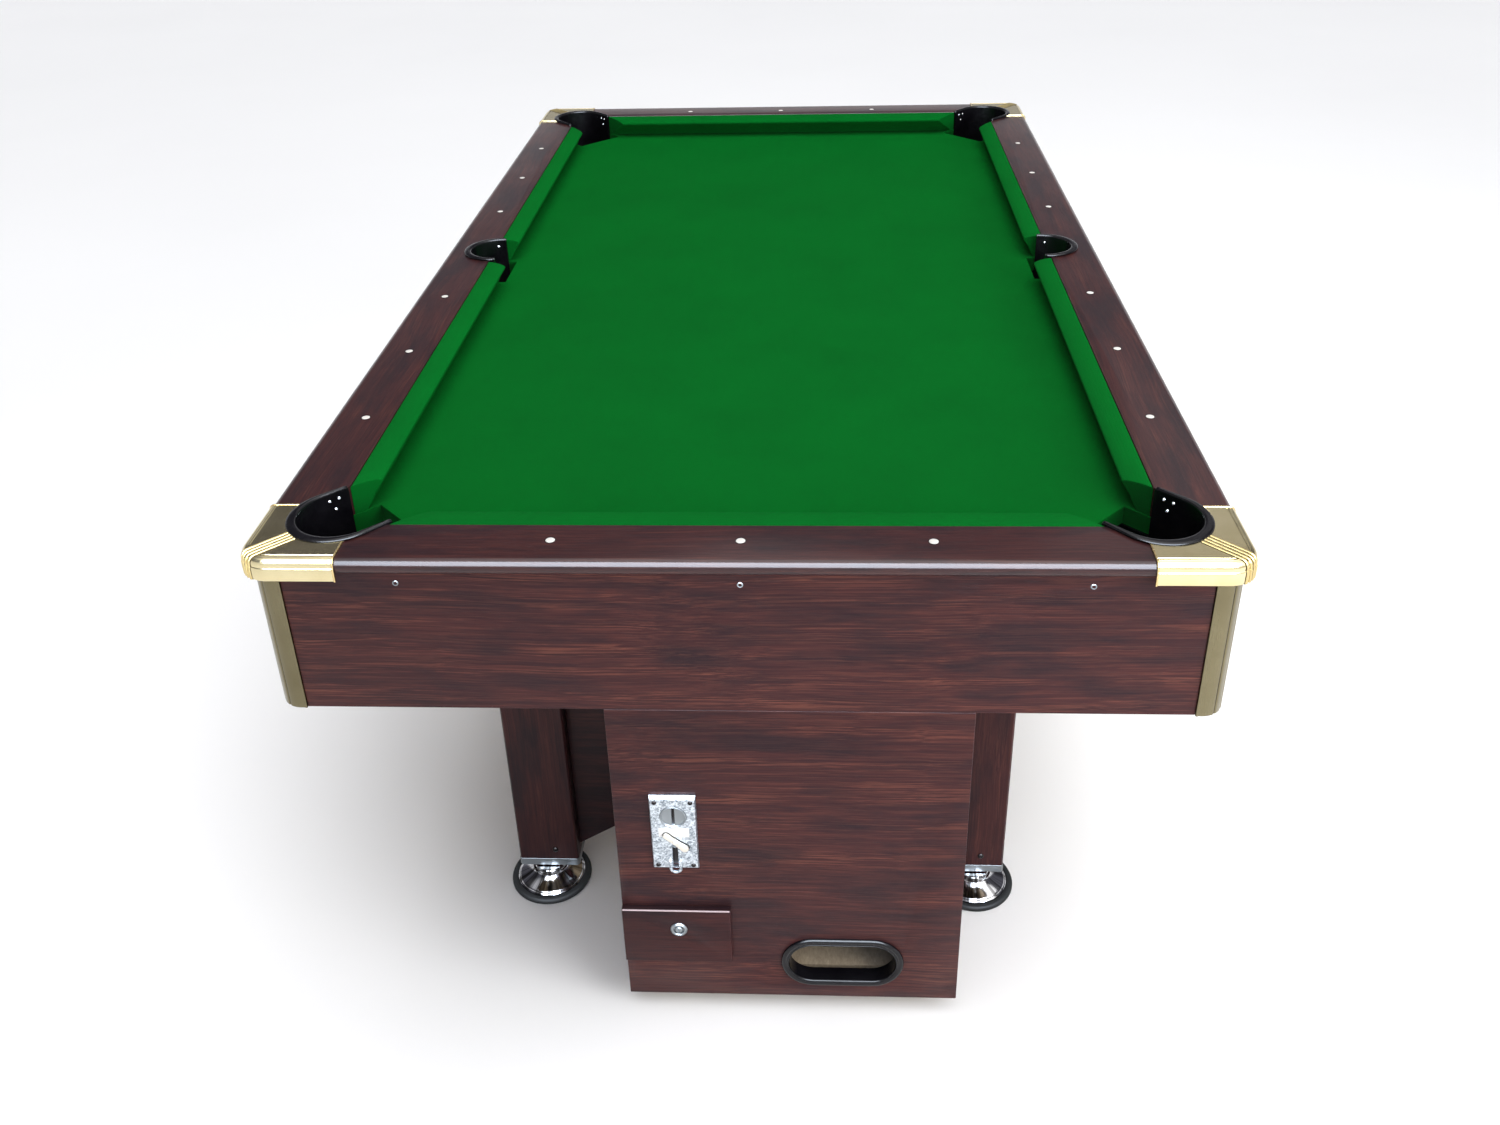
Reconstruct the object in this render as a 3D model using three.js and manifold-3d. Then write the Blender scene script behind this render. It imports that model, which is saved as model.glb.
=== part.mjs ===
// A seven-foot coin-operated pool table: bed, rails, pockets, legs, ball cabinet and coin gear.
// Lengths are in millimetres. +X is to the right of a player who stands at the coin end,
// +Y runs away from that player along the table and +Z is up. The origin is on the floor,
// under the centre of the bed. "Near" is the coin end and "far" is the other end.

import * as THREE from 'three';
import { mergeVertices } from 'three/addons/utils/BufferGeometryUtils.js';
import Module from 'manifold-3d';

const wasm = await Module();
wasm.setup();

// ---------------------------------------------------------------- driving dimensions

const GAP = 0.3; // clearance between separate pieces that meet
const PAST = 10; // how far a cutting tool runs past the face that it cuts
const OVERLAP = 1; // how far joined shapes run into each other

const SMALL_ARC_STEPS = 8;
const CORNER_ARC_STEPS = 10;
const PORT_ARC_STEPS = 12;
const POCKET_ARC_STEPS = 14;
const PIN_SIDES = 20;
const ROUND_SIDES = 28;

const TABLE_WIDTH = 1270;
const TABLE_LENGTH = 2236;
const RAIL_TOP = 820;
const RAIL_THICK = 22;
const RAIL_WIDTH_LONG = 92;
const RAIL_WIDTH_SHORT = 88;
const RAIL_OVERHANG = 11; // rail edge past the apron
const SUB_RAIL_WIDTH = 46; // the strip under the rail board that the cushion is fixed to

const CLOTH_TOP = 775;
const CLOTH_THICK = 1.5;
const CLOTH_TUCK = 12; // the cloth's edge is trapped under the rails by this much
const BED_THICK = 25;
const BED_CLEARANCE = 1; // between the bed's edge and the aprons

const CUSHION_REACH_LONG = 34; // from the wood of a long rail to the cushion's nose
const CUSHION_REACH_SHORT = 46;
const CUSHION_FOOT = 14; // depth of the cushion where it stands on the cloth
const NOSE_DROP = 6; // from rail top to the upper edge of the nose
const NOSE_HEIGHT = 5;
const NOSE_BEVEL = 3;
const CUSHION_BACK_DROP = 1; // from rail top to the cushion's back edge

const CORNER_POCKET = { x: 530, y: 1009, turn: 45, radius: 58, arm: 85, wallArm: 35 };
const SIDE_POCKET = { x: 535, y: 0, turn: 0, radius: 53, arm: 22, wallArm: 4 };
const LINER_WALL = 5;
const LINER_BOTTOM = 700;
const FLANGE_THICK = 3;
const FLANGE_WIDTH = 8;
const FLANGE_SHIFT = 6; // the flange is wider on its outer side by this much
const JAW_LENGTH = 150; // length of the straight cut that shapes a cushion's end
const SIDE_JAW_HALF = 62; // half the side pocket's mouth at the wood
const SIDE_MOUTH_HALF = 68; // half the side pocket's mouth at the nose

const CASTING_PROUD = 2;
const CASTING_ON_SHORT_RAIL = 130;
const CASTING_ON_LONG_RAIL = 137;
const CASTING_LIP = 8; // the casting's skirt hangs this far below the rail board
const CASTING_WALL = 4;
const CASTING_RADIUS = 42;
const CASTING_BEVEL = 4;

const APRON_THICK = 18;
const APRON_BOTTOM = 579;
const TRIM_ARM = 40;
const TRIM_PROUD = 2;
const TRIM_RADIUS = 32;

const LEG_INNER_X = 304;
const LEG_WIDTH = 99;
const LEG_FRONT_Y = 858;
const LEG_DEPTH = 98;
const LEG_BOTTOM = 40;
const LEG_CHAMFER = 3;
const LEG_PANEL_SETBACK = 22;
const LEG_PANEL_THICK = 18;
const LEG_PANEL_BOTTOM = 68;
const LEG_PANEL_CUT_RUN = 150; // the panel's lower corners slope over this width
const LEG_PANEL_CUT_RISE = 94;

const FOOT_X = 356;
const FOOT_Y = 843;
const FOOT_PAD = { radius: 67, height: 10, bevel: 3 };
const FOOT_CONE = { bottomRadius: 61, topRadius: 29, bottom: 12, top: 27 };
const FOOT_HUB = { radius: 27, top: 37, bevel: 2 };
const STEM_RADIUS = 6;
const STEM_CLEARANCE = 1;
const STEM_IN_LEG = 60;

const CABINET_LEFT = -187;
const CABINET_RIGHT = 304;
const CABINET_BOTTOM = 33;
const CABINET_DEPTH = 200;
const CABINET_WALL = 16;
const CABINET_BOARD = 12; // thickness of the floor, back and divider
const DIVIDER_X = -16;

const BALL_PORT = { x: 133.5, z: 107, length: 181, height: 96, rim: 12, proud: 5, sleeve: 4, depth: 30 };
const TRAY_FRONT_Z = 66;
const TRAY_BACK_Z = 86;
const TRAY_THICK = 10;
const HOLDING_SHELF = { left: 430, right: 410, thick: 8, end: 190 };
const GATE = { x: 195, z: 520, length: 100, thick: 4, pin: 4, margin: 8 };

const RUNWAY_FAR_Z = 640;
const RUNWAY_NEAR_Z = 612;
const RUNWAY_WIDTH = 148;
const RUNWAY_THICK = 8;
const RUNWAY_LIP = 22;
const CROSS_RUN_SIDE_Z = 604;
const CROSS_RUN_HOLE_Z = 592;
const CROSS_RUN_WIDTH = 96;
const DROP_HOLE = 80;

const COIN_PLATE = { x: -103.5, bottom: 297, top: 432, width: 65, proud: 6, chamfer: 3 };
const COIN_DISH = { z: 395, radius: 19, depth: 2 };
const COIN_SLOT = { width: 3, height: 32 };
const RETURN_SLOT = { width: 8, bottom: 300, top: 338 };
const RETURN_CUP = { half: 9, wall: 4, bottom: 291, top: 314, proud: 9 };
const MECHANISM = { width: 53, bottom: 303, top: 426, depth: 95, hopper: 30, clearance: 1 };
const LEVER = { x: -102, z: 350, half: 17, radius: 6, thick: 4, tilt: -42, pin: 3 };

const CASH_FRONT = { right: -29, bottom: 114, top: 218, thick: 10 };
const CASH_BOX = { left: -165, right: -45, bottom: 124, top: 205, depth: 170, wall: 3, clearance: 2 };
const CASH_SHELF_THICK = 12;
const LOCK = { x: -105, z: 181, headRadius: 12.5, headThick: 3, radius: 9, depth: 32 };
const LOCK_CAM = { width: 9, reach: 20, thick: 3 };

// ---------------------------------------------------------------- derived places

const HALF_WIDTH = TABLE_WIDTH / 2;
const HALF_LENGTH = TABLE_LENGTH / 2;
const RAIL_UNDER = RAIL_TOP - RAIL_THICK;
const WOOD_X = HALF_WIDTH - RAIL_WIDTH_LONG; // inner edge of the rail wood
const WOOD_Y = HALF_LENGTH - RAIL_WIDTH_SHORT;
const NOSE_X = WOOD_X - CUSHION_REACH_LONG;
const NOSE_Y = WOOD_Y - CUSHION_REACH_SHORT;
const APRON_X = HALF_WIDTH - RAIL_OVERHANG; // outer faces of the aprons
const APRON_Y = HALF_LENGTH - RAIL_OVERHANG - CASTING_PROUD;
const APRON_TOP = RAIL_UNDER - GAP;
const BED_TOP = CLOTH_TOP - CLOTH_THICK - GAP;
const BED_UNDER = BED_TOP - BED_THICK;
const CASTING_TOP = RAIL_TOP + CASTING_PROUD;
const CASTING_X = HALF_WIDTH + CASTING_PROUD; // outer faces of the castings
const CASTING_Y = HALF_LENGTH + CASTING_PROUD;
const CABINET_BACK_Y = -APRON_Y + CABINET_DEPTH;
const CABINET_TOP = APRON_BOTTOM - GAP;
const INSIDE_LEFT = CABINET_LEFT + CABINET_WALL;
const INSIDE_RIGHT = CABINET_RIGHT - CABINET_WALL;
const INSIDE_FRONT = -APRON_Y + CABINET_WALL;
const INSIDE_BACK = CABINET_BACK_Y - CABINET_BOARD;

const CORNERS = [
  { name: 'near_left', sx: -1, sy: -1 },
  { name: 'near_right', sx: 1, sy: -1 },
  { name: 'far_left', sx: -1, sy: 1 },
  { name: 'far_right', sx: 1, sy: 1 },
];
const SIDES = [
  { name: 'left', sx: -1, sy: 1 },
  { name: 'right', sx: 1, sy: 1 },
];
const ENDS = [
  { name: 'near', sy: -1 },
  { name: 'far', sy: 1 },
];
const POCKETS = [
  ...CORNERS.map((corner) => ({ ...corner, ...CORNER_POCKET })),
  ...SIDES.map((side) => ({ ...side, ...SIDE_POCKET, name: `side_${side.name}` })),
];

// ---------------------------------------------------------------- materials

function finish(color, roughness, metalness) {
  return new THREE.MeshStandardMaterial({ color, roughness, metalness });
}

const MATERIALS = {
  wood: finish(0x55302c, 0.4, 0),
  board: finish(0x9a8468, 0.8, 0),
  cloth: finish(0x00732a, 0.95, 0),
  brass: finish(0xb59a55, 0.3, 1),
  goldTrim: finish(0xa89a6c, 0.35, 1),
  blackPlastic: finish(0x121214, 0.35, 0),
  chrome: finish(0xd8d8dc, 0.1, 1),
  zinc: finish(0xc4c8cc, 0.35, 1),
  steel: finish(0x8f9396, 0.4, 1),
};

// ---------------------------------------------------------------- solids

const point = (x, y) => new THREE.Vector2(x, y);

function arc(x, y, radius, fromDegrees, toDegrees, steps) {
  return Array.from({ length: steps + 1 }, (_, i) => {
    const angle = THREE.MathUtils.degToRad(fromDegrees + ((toDegrees - fromDegrees) * i) / steps);
    return point(x + radius * Math.cos(angle), y + radius * Math.sin(angle));
  });
}

function circle(x, y, radius, sides) {
  return arc(x, y, radius, 0, 360, sides).slice(0, sides);
}

function mirrored(points, sx, sy) {
  return points.map((p) => point(p.x * sx, p.y * sy));
}

function extrude(outline, depth) {
  return new THREE.ExtrudeGeometry(new THREE.Shape(outline), { depth, bevelEnabled: false });
}

// An outline in X and Y, between two heights.
function prismZ(outline, z0, z1) {
  return extrude(outline, z1 - z0).translate(0, 0, z0);
}

// An outline in X and Z, between two places along Y.
function prismY(outline, y0, y1) {
  const turn = new THREE.Matrix4().makeBasis(
    new THREE.Vector3(1, 0, 0),
    new THREE.Vector3(0, 0, 1),
    new THREE.Vector3(0, -1, 0),
  );
  return extrude(outline, y1 - y0).applyMatrix4(turn).translate(0, y1, 0);
}

// An outline in Y and Z, between two places along X.
function prismX(outline, x0, x1) {
  const turn = new THREE.Matrix4().makeBasis(
    new THREE.Vector3(0, 1, 0),
    new THREE.Vector3(0, 0, 1),
    new THREE.Vector3(1, 0, 0),
  );
  return extrude(outline, x1 - x0).applyMatrix4(turn).translate(x0, 0, 0);
}

function block(x0, x1, y0, y1, z0, z1) {
  const geometry = new THREE.BoxGeometry(x1 - x0, y1 - y0, z1 - z0);
  return geometry.translate((x0 + x1) / 2, (y0 + y1) / 2, (z0 + z1) / 2);
}

// A cylinder whose axis runs along Y.
function pinY(x, z, radius, y0, y1, sides = PIN_SIDES) {
  const geometry = new THREE.CylinderGeometry(radius, radius, y1 - y0, sides);
  return geometry.translate(x, (y0 + y1) / 2, z);
}

function solid(geometry) {
  const bare = geometry.index ? geometry.clone() : geometry;
  bare.deleteAttribute('normal');
  bare.deleteAttribute('uv');
  const merged = mergeVertices(bare);
  const mesh = new wasm.Mesh({
    numProp: 3,
    vertProperties: new Float32Array(merged.attributes.position.array),
    triVerts: new Uint32Array(merged.index.array),
  });
  return new wasm.Manifold(mesh);
}

function geometryOf(manifold) {
  const mesh = manifold.getMesh();
  const geometry = new THREE.BufferGeometry();
  geometry.setAttribute('position', new THREE.BufferAttribute(new Float32Array(mesh.vertProperties), 3));
  geometry.setIndex(new THREE.BufferAttribute(new Uint32Array(mesh.triVerts), 1));
  return geometry;
}

function join(...geometries) {
  return geometryOf(geometries.map(solid).reduce((sum, next) => sum.add(next)));
}

function cut(base, ...tools) {
  return geometryOf(tools.map(solid).reduce((rest, tool) => rest.subtract(tool), solid(base)));
}

const table = new THREE.Group();

function add(name, geometry, material) {
  geometry.deleteAttribute('normal');
  geometry.deleteAttribute('uv');
  const merged = mergeVertices(geometry);
  merged.computeVertexNormals();
  const mesh = new THREE.Mesh(merged, MATERIALS[material]);
  mesh.name = name;
  table.add(mesh);
}

// ---------------------------------------------------------------- pocket outlines

// A pocket's plan is a half circle that bulges outwards, with two straight arms towards the bed.
function pocketOutline(radius, arm) {
  return [point(-arm, -radius), ...arc(0, 0, radius, -90, 90, POCKET_ARC_STEPS), point(-arm, radius)];
}

function placed(outline, pocket) {
  const turn = THREE.MathUtils.degToRad(pocket.turn);
  const world = outline.map((p) => point(
    pocket.x + p.x * Math.cos(turn) - p.y * Math.sin(turn),
    pocket.y + p.x * Math.sin(turn) + p.y * Math.cos(turn),
  ));
  return mirrored(world, pocket.sx, pocket.sy);
}

function pocketPrism(pocket, radius, arm, z0, z1) {
  return prismZ(placed(pocketOutline(radius, arm), pocket), z0, z1);
}

// The room that one liner needs in the wood and metal around it.
function linerRoom(pocket) {
  const radius = pocket.radius + LINER_WALL + GAP;
  return pocketPrism(pocket, radius, JAW_LENGTH, BED_UNDER - PAST, CASTING_TOP + PAST);
}

// ---------------------------------------------------------------- bed and cloth

function addBed() {
  const halfX = APRON_X - APRON_THICK - BED_CLEARANCE;
  const halfY = APRON_Y - APRON_THICK - BED_CLEARANCE;
  const holes = (z0, z1) => POCKETS.map((pocket) => {
    const radius = pocket.radius + LINER_WALL + GAP;
    return pocketPrism(pocket, radius, pocket.arm, z0, z1);
  });
  const bed = block(-halfX, halfX, -halfY, halfY, BED_UNDER, BED_TOP);
  add('playing_bed', cut(bed, ...holes(BED_UNDER - PAST, BED_TOP + PAST)), 'board');

  const clothX = WOOD_X + CLOTH_TUCK;
  const clothY = WOOD_Y + CLOTH_TUCK;
  const sheet = block(-clothX, clothX, -clothY, clothY, BED_TOP + GAP, CLOTH_TOP);
  add('bed_cloth', cut(sheet, ...holes(BED_TOP - PAST, CLOTH_TOP + PAST)), 'cloth');
}

// ---------------------------------------------------------------- rails and cushions

// Section of a rail across its width: a board with a round outer edge on a sub-rail.
function railSection(inner, outer) {
  const radius = RAIL_THICK / 2;
  const foot = CLOTH_TOP + GAP;
  return [
    point(inner, foot),
    point(inner + SUB_RAIL_WIDTH, foot),
    point(inner + SUB_RAIL_WIDTH, RAIL_UNDER),
    ...arc(outer - radius, RAIL_UNDER + radius, radius, -90, 90, SMALL_ARC_STEPS),
    point(inner, RAIL_TOP),
  ];
}

function addRails() {
  const shortEnd = CASTING_X - CASTING_ON_SHORT_RAIL - GAP;
  const longEnd = CASTING_Y - CASTING_ON_LONG_RAIL - GAP;
  const rooms = POCKETS.map(linerRoom);
  for (const { name, sy } of ENDS) {
    const section = mirrored(railSection(WOOD_Y, HALF_LENGTH), sy, 1);
    add(`rail_${name}`, cut(prismX(section, -shortEnd, shortEnd), ...rooms), 'wood');
  }
  for (const { name, sx } of SIDES) {
    const section = mirrored(railSection(WOOD_X, HALF_WIDTH), sx, 1);
    add(`rail_${name}`, cut(prismY(section, -longEnd, longEnd), ...rooms), 'wood');
  }
}

// Section of a cushion, measured across the rail from the table's centre line.
function cushionSection(wood, nose) {
  const back = wood - GAP;
  const foot = CLOTH_TOP + GAP;
  const noseTop = RAIL_TOP - NOSE_DROP;
  return [
    point(back, foot),
    point(back, RAIL_TOP - CUSHION_BACK_DROP),
    point(nose + NOSE_BEVEL, noseTop),
    point(nose, noseTop - NOSE_BEVEL),
    point(nose, noseTop - NOSE_BEVEL - NOSE_HEIGHT),
    point(wood - CUSHION_FOOT, foot),
  ];
}

function sideJaw(sx) {
  const mouth = [
    point(WOOD_X + PAST, -SIDE_JAW_HALF),
    point(WOOD_X + PAST, SIDE_JAW_HALF),
    point(WOOD_X, SIDE_JAW_HALF),
    point(NOSE_X, SIDE_MOUTH_HALF),
    point(NOSE_X - PAST, SIDE_MOUTH_HALF),
    point(NOSE_X - PAST, -SIDE_MOUTH_HALF),
    point(NOSE_X, -SIDE_MOUTH_HALF),
    point(WOOD_X, -SIDE_JAW_HALF),
  ];
  return prismZ(mirrored(mouth, sx, 1), CLOTH_TOP - PAST, CASTING_TOP + PAST);
}

function addCushions() {
  const rooms = POCKETS.filter((pocket) => pocket.turn !== 0).map(linerRoom);
  for (const { name, sy } of ENDS) {
    const section = mirrored(cushionSection(WOOD_Y, NOSE_Y), sy, 1);
    add(`cushion_${name}`, cut(prismX(section, -NOSE_X, NOSE_X), ...rooms), 'cloth');
  }
  for (const { name, sx } of SIDES) {
    const section = mirrored(cushionSection(WOOD_X, NOSE_X), sx, 1);
    for (const end of ENDS) {
      const [y0, y1] = end.sy < 0 ? [-NOSE_Y, 0] : [0, NOSE_Y];
      const strip = cut(prismY(section, y0, y1), sideJaw(sx), ...rooms);
      add(`cushion_${name}_${end.name}`, strip, 'cloth');
    }
  }
}

// ---------------------------------------------------------------- pocket liners and castings

function flangeOutline(pocket) {
  const wall = pocket.radius + LINER_WALL;
  const radius = pocket.radius + FLANGE_WIDTH;
  return [
    point(-pocket.wallArm, -wall),
    ...arc(FLANGE_SHIFT, 0, radius, -90, 90, POCKET_ARC_STEPS),
    point(-pocket.wallArm, wall),
  ];
}

function addLiners() {
  for (const pocket of POCKETS) {
    const wall = pocket.radius + LINER_WALL;
    const flangeBottom = CASTING_TOP + GAP;
    const flangeTop = flangeBottom + FLANGE_THICK;
    const throat = pocketPrism(pocket, wall, pocket.arm + LINER_WALL, LINER_BOTTOM, BED_UNDER - GAP);
    const collar = pocketPrism(pocket, wall, pocket.wallArm, LINER_BOTTOM, flangeTop);
    const flange = prismZ(placed(flangeOutline(pocket), pocket), flangeBottom, flangeTop);
    const hole = pocketPrism(pocket, pocket.radius, pocket.arm, LINER_BOTTOM - PAST, flangeTop + PAST);
    add(`pocket_liner_${pocket.name}`, cut(join(throat, collar, flange), hole), 'blackPlastic');
  }
}

function castingOutline(inset, past) {
  const x1 = CASTING_X - inset;
  const y1 = CASTING_Y - inset;
  const x0 = CASTING_X - CASTING_ON_SHORT_RAIL - past;
  const y0 = CASTING_Y - CASTING_ON_LONG_RAIL - past;
  const radius = CASTING_RADIUS - inset;
  return [
    point(x0, WOOD_Y - past),
    point(WOOD_X - past, WOOD_Y - past),
    point(WOOD_X - past, y0),
    point(x1, y0),
    ...arc(x1 - radius, y1 - radius, radius, 0, 90, CORNER_ARC_STEPS),
    point(x0, y1),
  ];
}

function addCastings() {
  const bottom = RAIL_UNDER - CASTING_LIP;
  const shellTop = CASTING_TOP - CASTING_WALL;
  for (const pocket of POCKETS.filter((each) => each.turn !== 0)) {
    const { sx, sy } = pocket;
    const plan = (inset, past) => mirrored(castingOutline(inset, past), sx, sy);
    const outer = prismZ(plan(0, 0), bottom, CASTING_TOP - CASTING_BEVEL);
    const crown = prismZ(plan(CASTING_BEVEL, 0), bottom, CASTING_TOP);
    const inside = prismZ(plan(CASTING_WALL + CASTING_BEVEL, OVERLAP), bottom - PAST, shellTop);
    const skirtInside = prismZ(plan(CASTING_WALL, OVERLAP), bottom - PAST, shellTop - CASTING_BEVEL);
    const shell = cut(join(outer, crown), inside, skirtInside, linerRoom(pocket));
    add(`corner_casting_${pocket.name}`, shell, 'brass');
  }
}

// ---------------------------------------------------------------- aprons and corner trims

function addAprons() {
  const endX = APRON_X + TRIM_PROUD - TRIM_ARM - GAP;
  const endY = APRON_Y + TRIM_PROUD - TRIM_ARM - GAP;
  for (const { name, sy } of ENDS) {
    const [y0, y1] = sy < 0 ? [-APRON_Y, -APRON_Y + APRON_THICK] : [APRON_Y - APRON_THICK, APRON_Y];
    add(`apron_${name}`, block(-endX, endX, y0, y1, APRON_BOTTOM, APRON_TOP), 'wood');
  }
  for (const { name, sx } of SIDES) {
    const [x0, x1] = sx < 0 ? [-APRON_X, -APRON_X + APRON_THICK] : [APRON_X - APRON_THICK, APRON_X];
    add(`apron_${name}`, block(x0, x1, -endY, endY, APRON_BOTTOM, APRON_TOP), 'wood');
  }
}

function addCornerTrims() {
  const outerX = APRON_X + TRIM_PROUD;
  const outerY = APRON_Y + TRIM_PROUD;
  const innerX = APRON_X - APRON_THICK;
  const innerY = APRON_Y - APRON_THICK;
  const outline = [
    point(outerX, outerY - TRIM_ARM),
    ...arc(outerX - TRIM_RADIUS, outerY - TRIM_RADIUS, TRIM_RADIUS, 0, 90, SMALL_ARC_STEPS),
    point(outerX - TRIM_ARM, outerY),
    point(outerX - TRIM_ARM, innerY),
    point(innerX, innerY),
    point(innerX, outerY - TRIM_ARM),
  ];
  for (const { name, sx, sy } of CORNERS) {
    add(`corner_trim_${name}`, prismZ(mirrored(outline, sx, sy), APRON_BOTTOM, APRON_TOP), 'goldTrim');
  }
}

// ---------------------------------------------------------------- legs and levelling feet

function addLegs() {
  const x0 = LEG_INNER_X;
  const x1 = LEG_INNER_X + LEG_WIDTH;
  const y0 = LEG_FRONT_Y - LEG_DEPTH;
  const y1 = LEG_FRONT_Y;
  const c = LEG_CHAMFER;
  const outline = [
    point(x0 + c, y0), point(x1 - c, y0), point(x1, y0 + c), point(x1, y1 - c),
    point(x1 - c, y1), point(x0 + c, y1), point(x0, y1 - c), point(x0, y0 + c),
  ];
  const boreTop = LEG_BOTTOM + STEM_IN_LEG + PAST;
  for (const { name, sx, sy } of CORNERS) {
    const post = prismZ(mirrored(outline, sx, sy), LEG_BOTTOM, BED_UNDER - GAP);
    const boreOutline = circle(FOOT_X * sx, FOOT_Y * sy, STEM_RADIUS + STEM_CLEARANCE, PIN_SIDES);
    add(`leg_${name}`, cut(post, prismZ(boreOutline, LEG_BOTTOM - PAST, boreTop)), 'wood');
  }
}

function addLegPanels() {
  const halfX = LEG_INNER_X - GAP;
  const flatX = halfX - LEG_PANEL_CUT_RUN;
  const flatZ = LEG_PANEL_BOTTOM + LEG_PANEL_CUT_RISE;
  const outline = [
    point(-halfX, LEG_PANEL_BOTTOM), point(-flatX, flatZ), point(flatX, flatZ),
    point(halfX, LEG_PANEL_BOTTOM), point(halfX, BED_UNDER - GAP), point(-halfX, BED_UNDER - GAP),
  ];
  const front = LEG_FRONT_Y - LEG_PANEL_SETBACK;
  const back = front - LEG_PANEL_THICK;
  add('leg_panel_near', prismY(outline, -front, -back), 'wood');
  add('leg_panel_far', prismY(outline, back, front), 'wood');
}

// A low round foot: a pad on the floor, a shallow cone, a hub and the stem that screws into the leg.
function addFeet() {
  const pad = FOOT_PAD;
  const cone = FOOT_CONE;
  const hub = FOOT_HUB;
  const stemTop = LEG_BOTTOM + STEM_IN_LEG;
  const profile = [
    point(0, 0),
    point(pad.radius - pad.bevel, 0),
    point(pad.radius, pad.bevel),
    point(pad.radius, pad.height - pad.bevel),
    point(pad.radius - pad.bevel, pad.height),
    point(cone.bottomRadius, cone.bottom),
    point(cone.topRadius, cone.top),
    point(hub.radius, cone.top),
    point(hub.radius, hub.top - hub.bevel),
    point(hub.radius - hub.bevel, hub.top),
    point(STEM_RADIUS, hub.top),
    point(STEM_RADIUS, stemTop),
    point(0, stemTop),
  ];
  for (const { name, sx, sy } of CORNERS) {
    const foot = new THREE.LatheGeometry(profile, ROUND_SIDES).rotateX(Math.PI / 2);
    add(`levelling_foot_${name}`, foot.translate(FOOT_X * sx, FOOT_Y * sy, 0), 'chrome');
  }
}

// ---------------------------------------------------------------- ball return

function addRunways() {
  const outer = APRON_X - APRON_THICK - GAP;
  const inner = outer - RUNWAY_WIDTH;
  const farY = APRON_Y - APRON_THICK - GAP;
  const nearY = -APRON_Y + APRON_THICK + CROSS_RUN_WIDTH + 2 * GAP;
  const floor = [
    point(nearY, RUNWAY_NEAR_Z - RUNWAY_THICK), point(farY, RUNWAY_FAR_Z - RUNWAY_THICK),
    point(farY, RUNWAY_FAR_Z), point(nearY, RUNWAY_NEAR_Z),
  ];
  const lip = floor.map((p, i) => (i < 2 ? p : point(p.x, p.y + RUNWAY_LIP)));
  for (const { name, sx } of SIDES) {
    const plank = sx < 0 ? prismX(floor, -outer, -inner) : prismX(floor, inner, outer);
    const edge = sx < 0
      ? prismX(lip, -inner - RUNWAY_THICK, -inner)
      : prismX(lip, inner, inner + RUNWAY_THICK);
    add(`ball_runway_${name}`, join(plank, edge), 'board');
  }

  const y0 = -APRON_Y + APRON_THICK + GAP;
  const y1 = y0 + CROSS_RUN_WIDTH;
  const holeLeft = BALL_PORT.x - DROP_HOLE / 2;
  const holeRight = BALL_PORT.x + DROP_HOLE / 2;
  const section = [
    point(-outer, CROSS_RUN_SIDE_Z - RUNWAY_THICK), point(holeLeft, CROSS_RUN_HOLE_Z - RUNWAY_THICK),
    point(holeRight, CROSS_RUN_HOLE_Z - RUNWAY_THICK), point(outer, CROSS_RUN_SIDE_Z - RUNWAY_THICK),
    point(outer, CROSS_RUN_SIDE_Z), point(holeRight, CROSS_RUN_HOLE_Z),
    point(holeLeft, CROSS_RUN_HOLE_Z), point(-outer, CROSS_RUN_SIDE_Z),
  ];
  const margin = (CROSS_RUN_WIDTH - DROP_HOLE) / 2;
  const hole = block(holeLeft, holeRight, y0 + margin, y1 - margin, APRON_BOTTOM, RUNWAY_NEAR_Z);
  add('ball_cross_runway', cut(prismY(section, y0, y1), hole), 'board');
}

function addBallStore() {
  const y0 = INSIDE_FRONT + GAP;
  const y1 = INSIDE_BACK - GAP;
  const left = DIVIDER_X + CABINET_BOARD + GAP;
  const shelf = [
    point(left, HOLDING_SHELF.left - HOLDING_SHELF.thick),
    point(HOLDING_SHELF.end, HOLDING_SHELF.right - HOLDING_SHELF.thick),
    point(HOLDING_SHELF.end, HOLDING_SHELF.right),
    point(left, HOLDING_SHELF.left),
  ];
  add('ball_holding_shelf', prismY(shelf, y0, y1), 'board');

  const tray = [
    point(INSIDE_FRONT + BALL_PORT.depth - CABINET_WALL, TRAY_FRONT_Z - TRAY_THICK),
    point(y1, TRAY_BACK_Z - TRAY_THICK),
    point(y1, TRAY_BACK_Z),
    point(INSIDE_FRONT + BALL_PORT.depth - CABINET_WALL, TRAY_FRONT_Z),
  ];
  add('ball_tray', prismX(tray, left, INSIDE_RIGHT - GAP), 'board');

  const paddle = block(
    GATE.x - GATE.thick / 2, GATE.x + GATE.thick / 2,
    y0 + GATE.margin, y1 - GATE.margin, GATE.z - GATE.length, GATE.z,
  );
  const pivot = pinY(GATE.x, GATE.z, GATE.pin, y0, y1);
  add('ball_release_gate', join(paddle, pivot), 'steel');
}

// ---------------------------------------------------------------- ball cabinet

function racetrack(length, height) {
  const radius = height / 2;
  const half = length / 2 - radius;
  return [
    ...arc(BALL_PORT.x + half, BALL_PORT.z, radius, -90, 90, PORT_ARC_STEPS),
    ...arc(BALL_PORT.x - half, BALL_PORT.z, radius, 90, 270, PORT_ARC_STEPS),
  ];
}

function portPrism(margin, y0, y1) {
  const length = BALL_PORT.length - 2 * margin;
  const height = BALL_PORT.height - 2 * margin;
  return prismY(racetrack(length, height), y0, y1);
}

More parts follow.
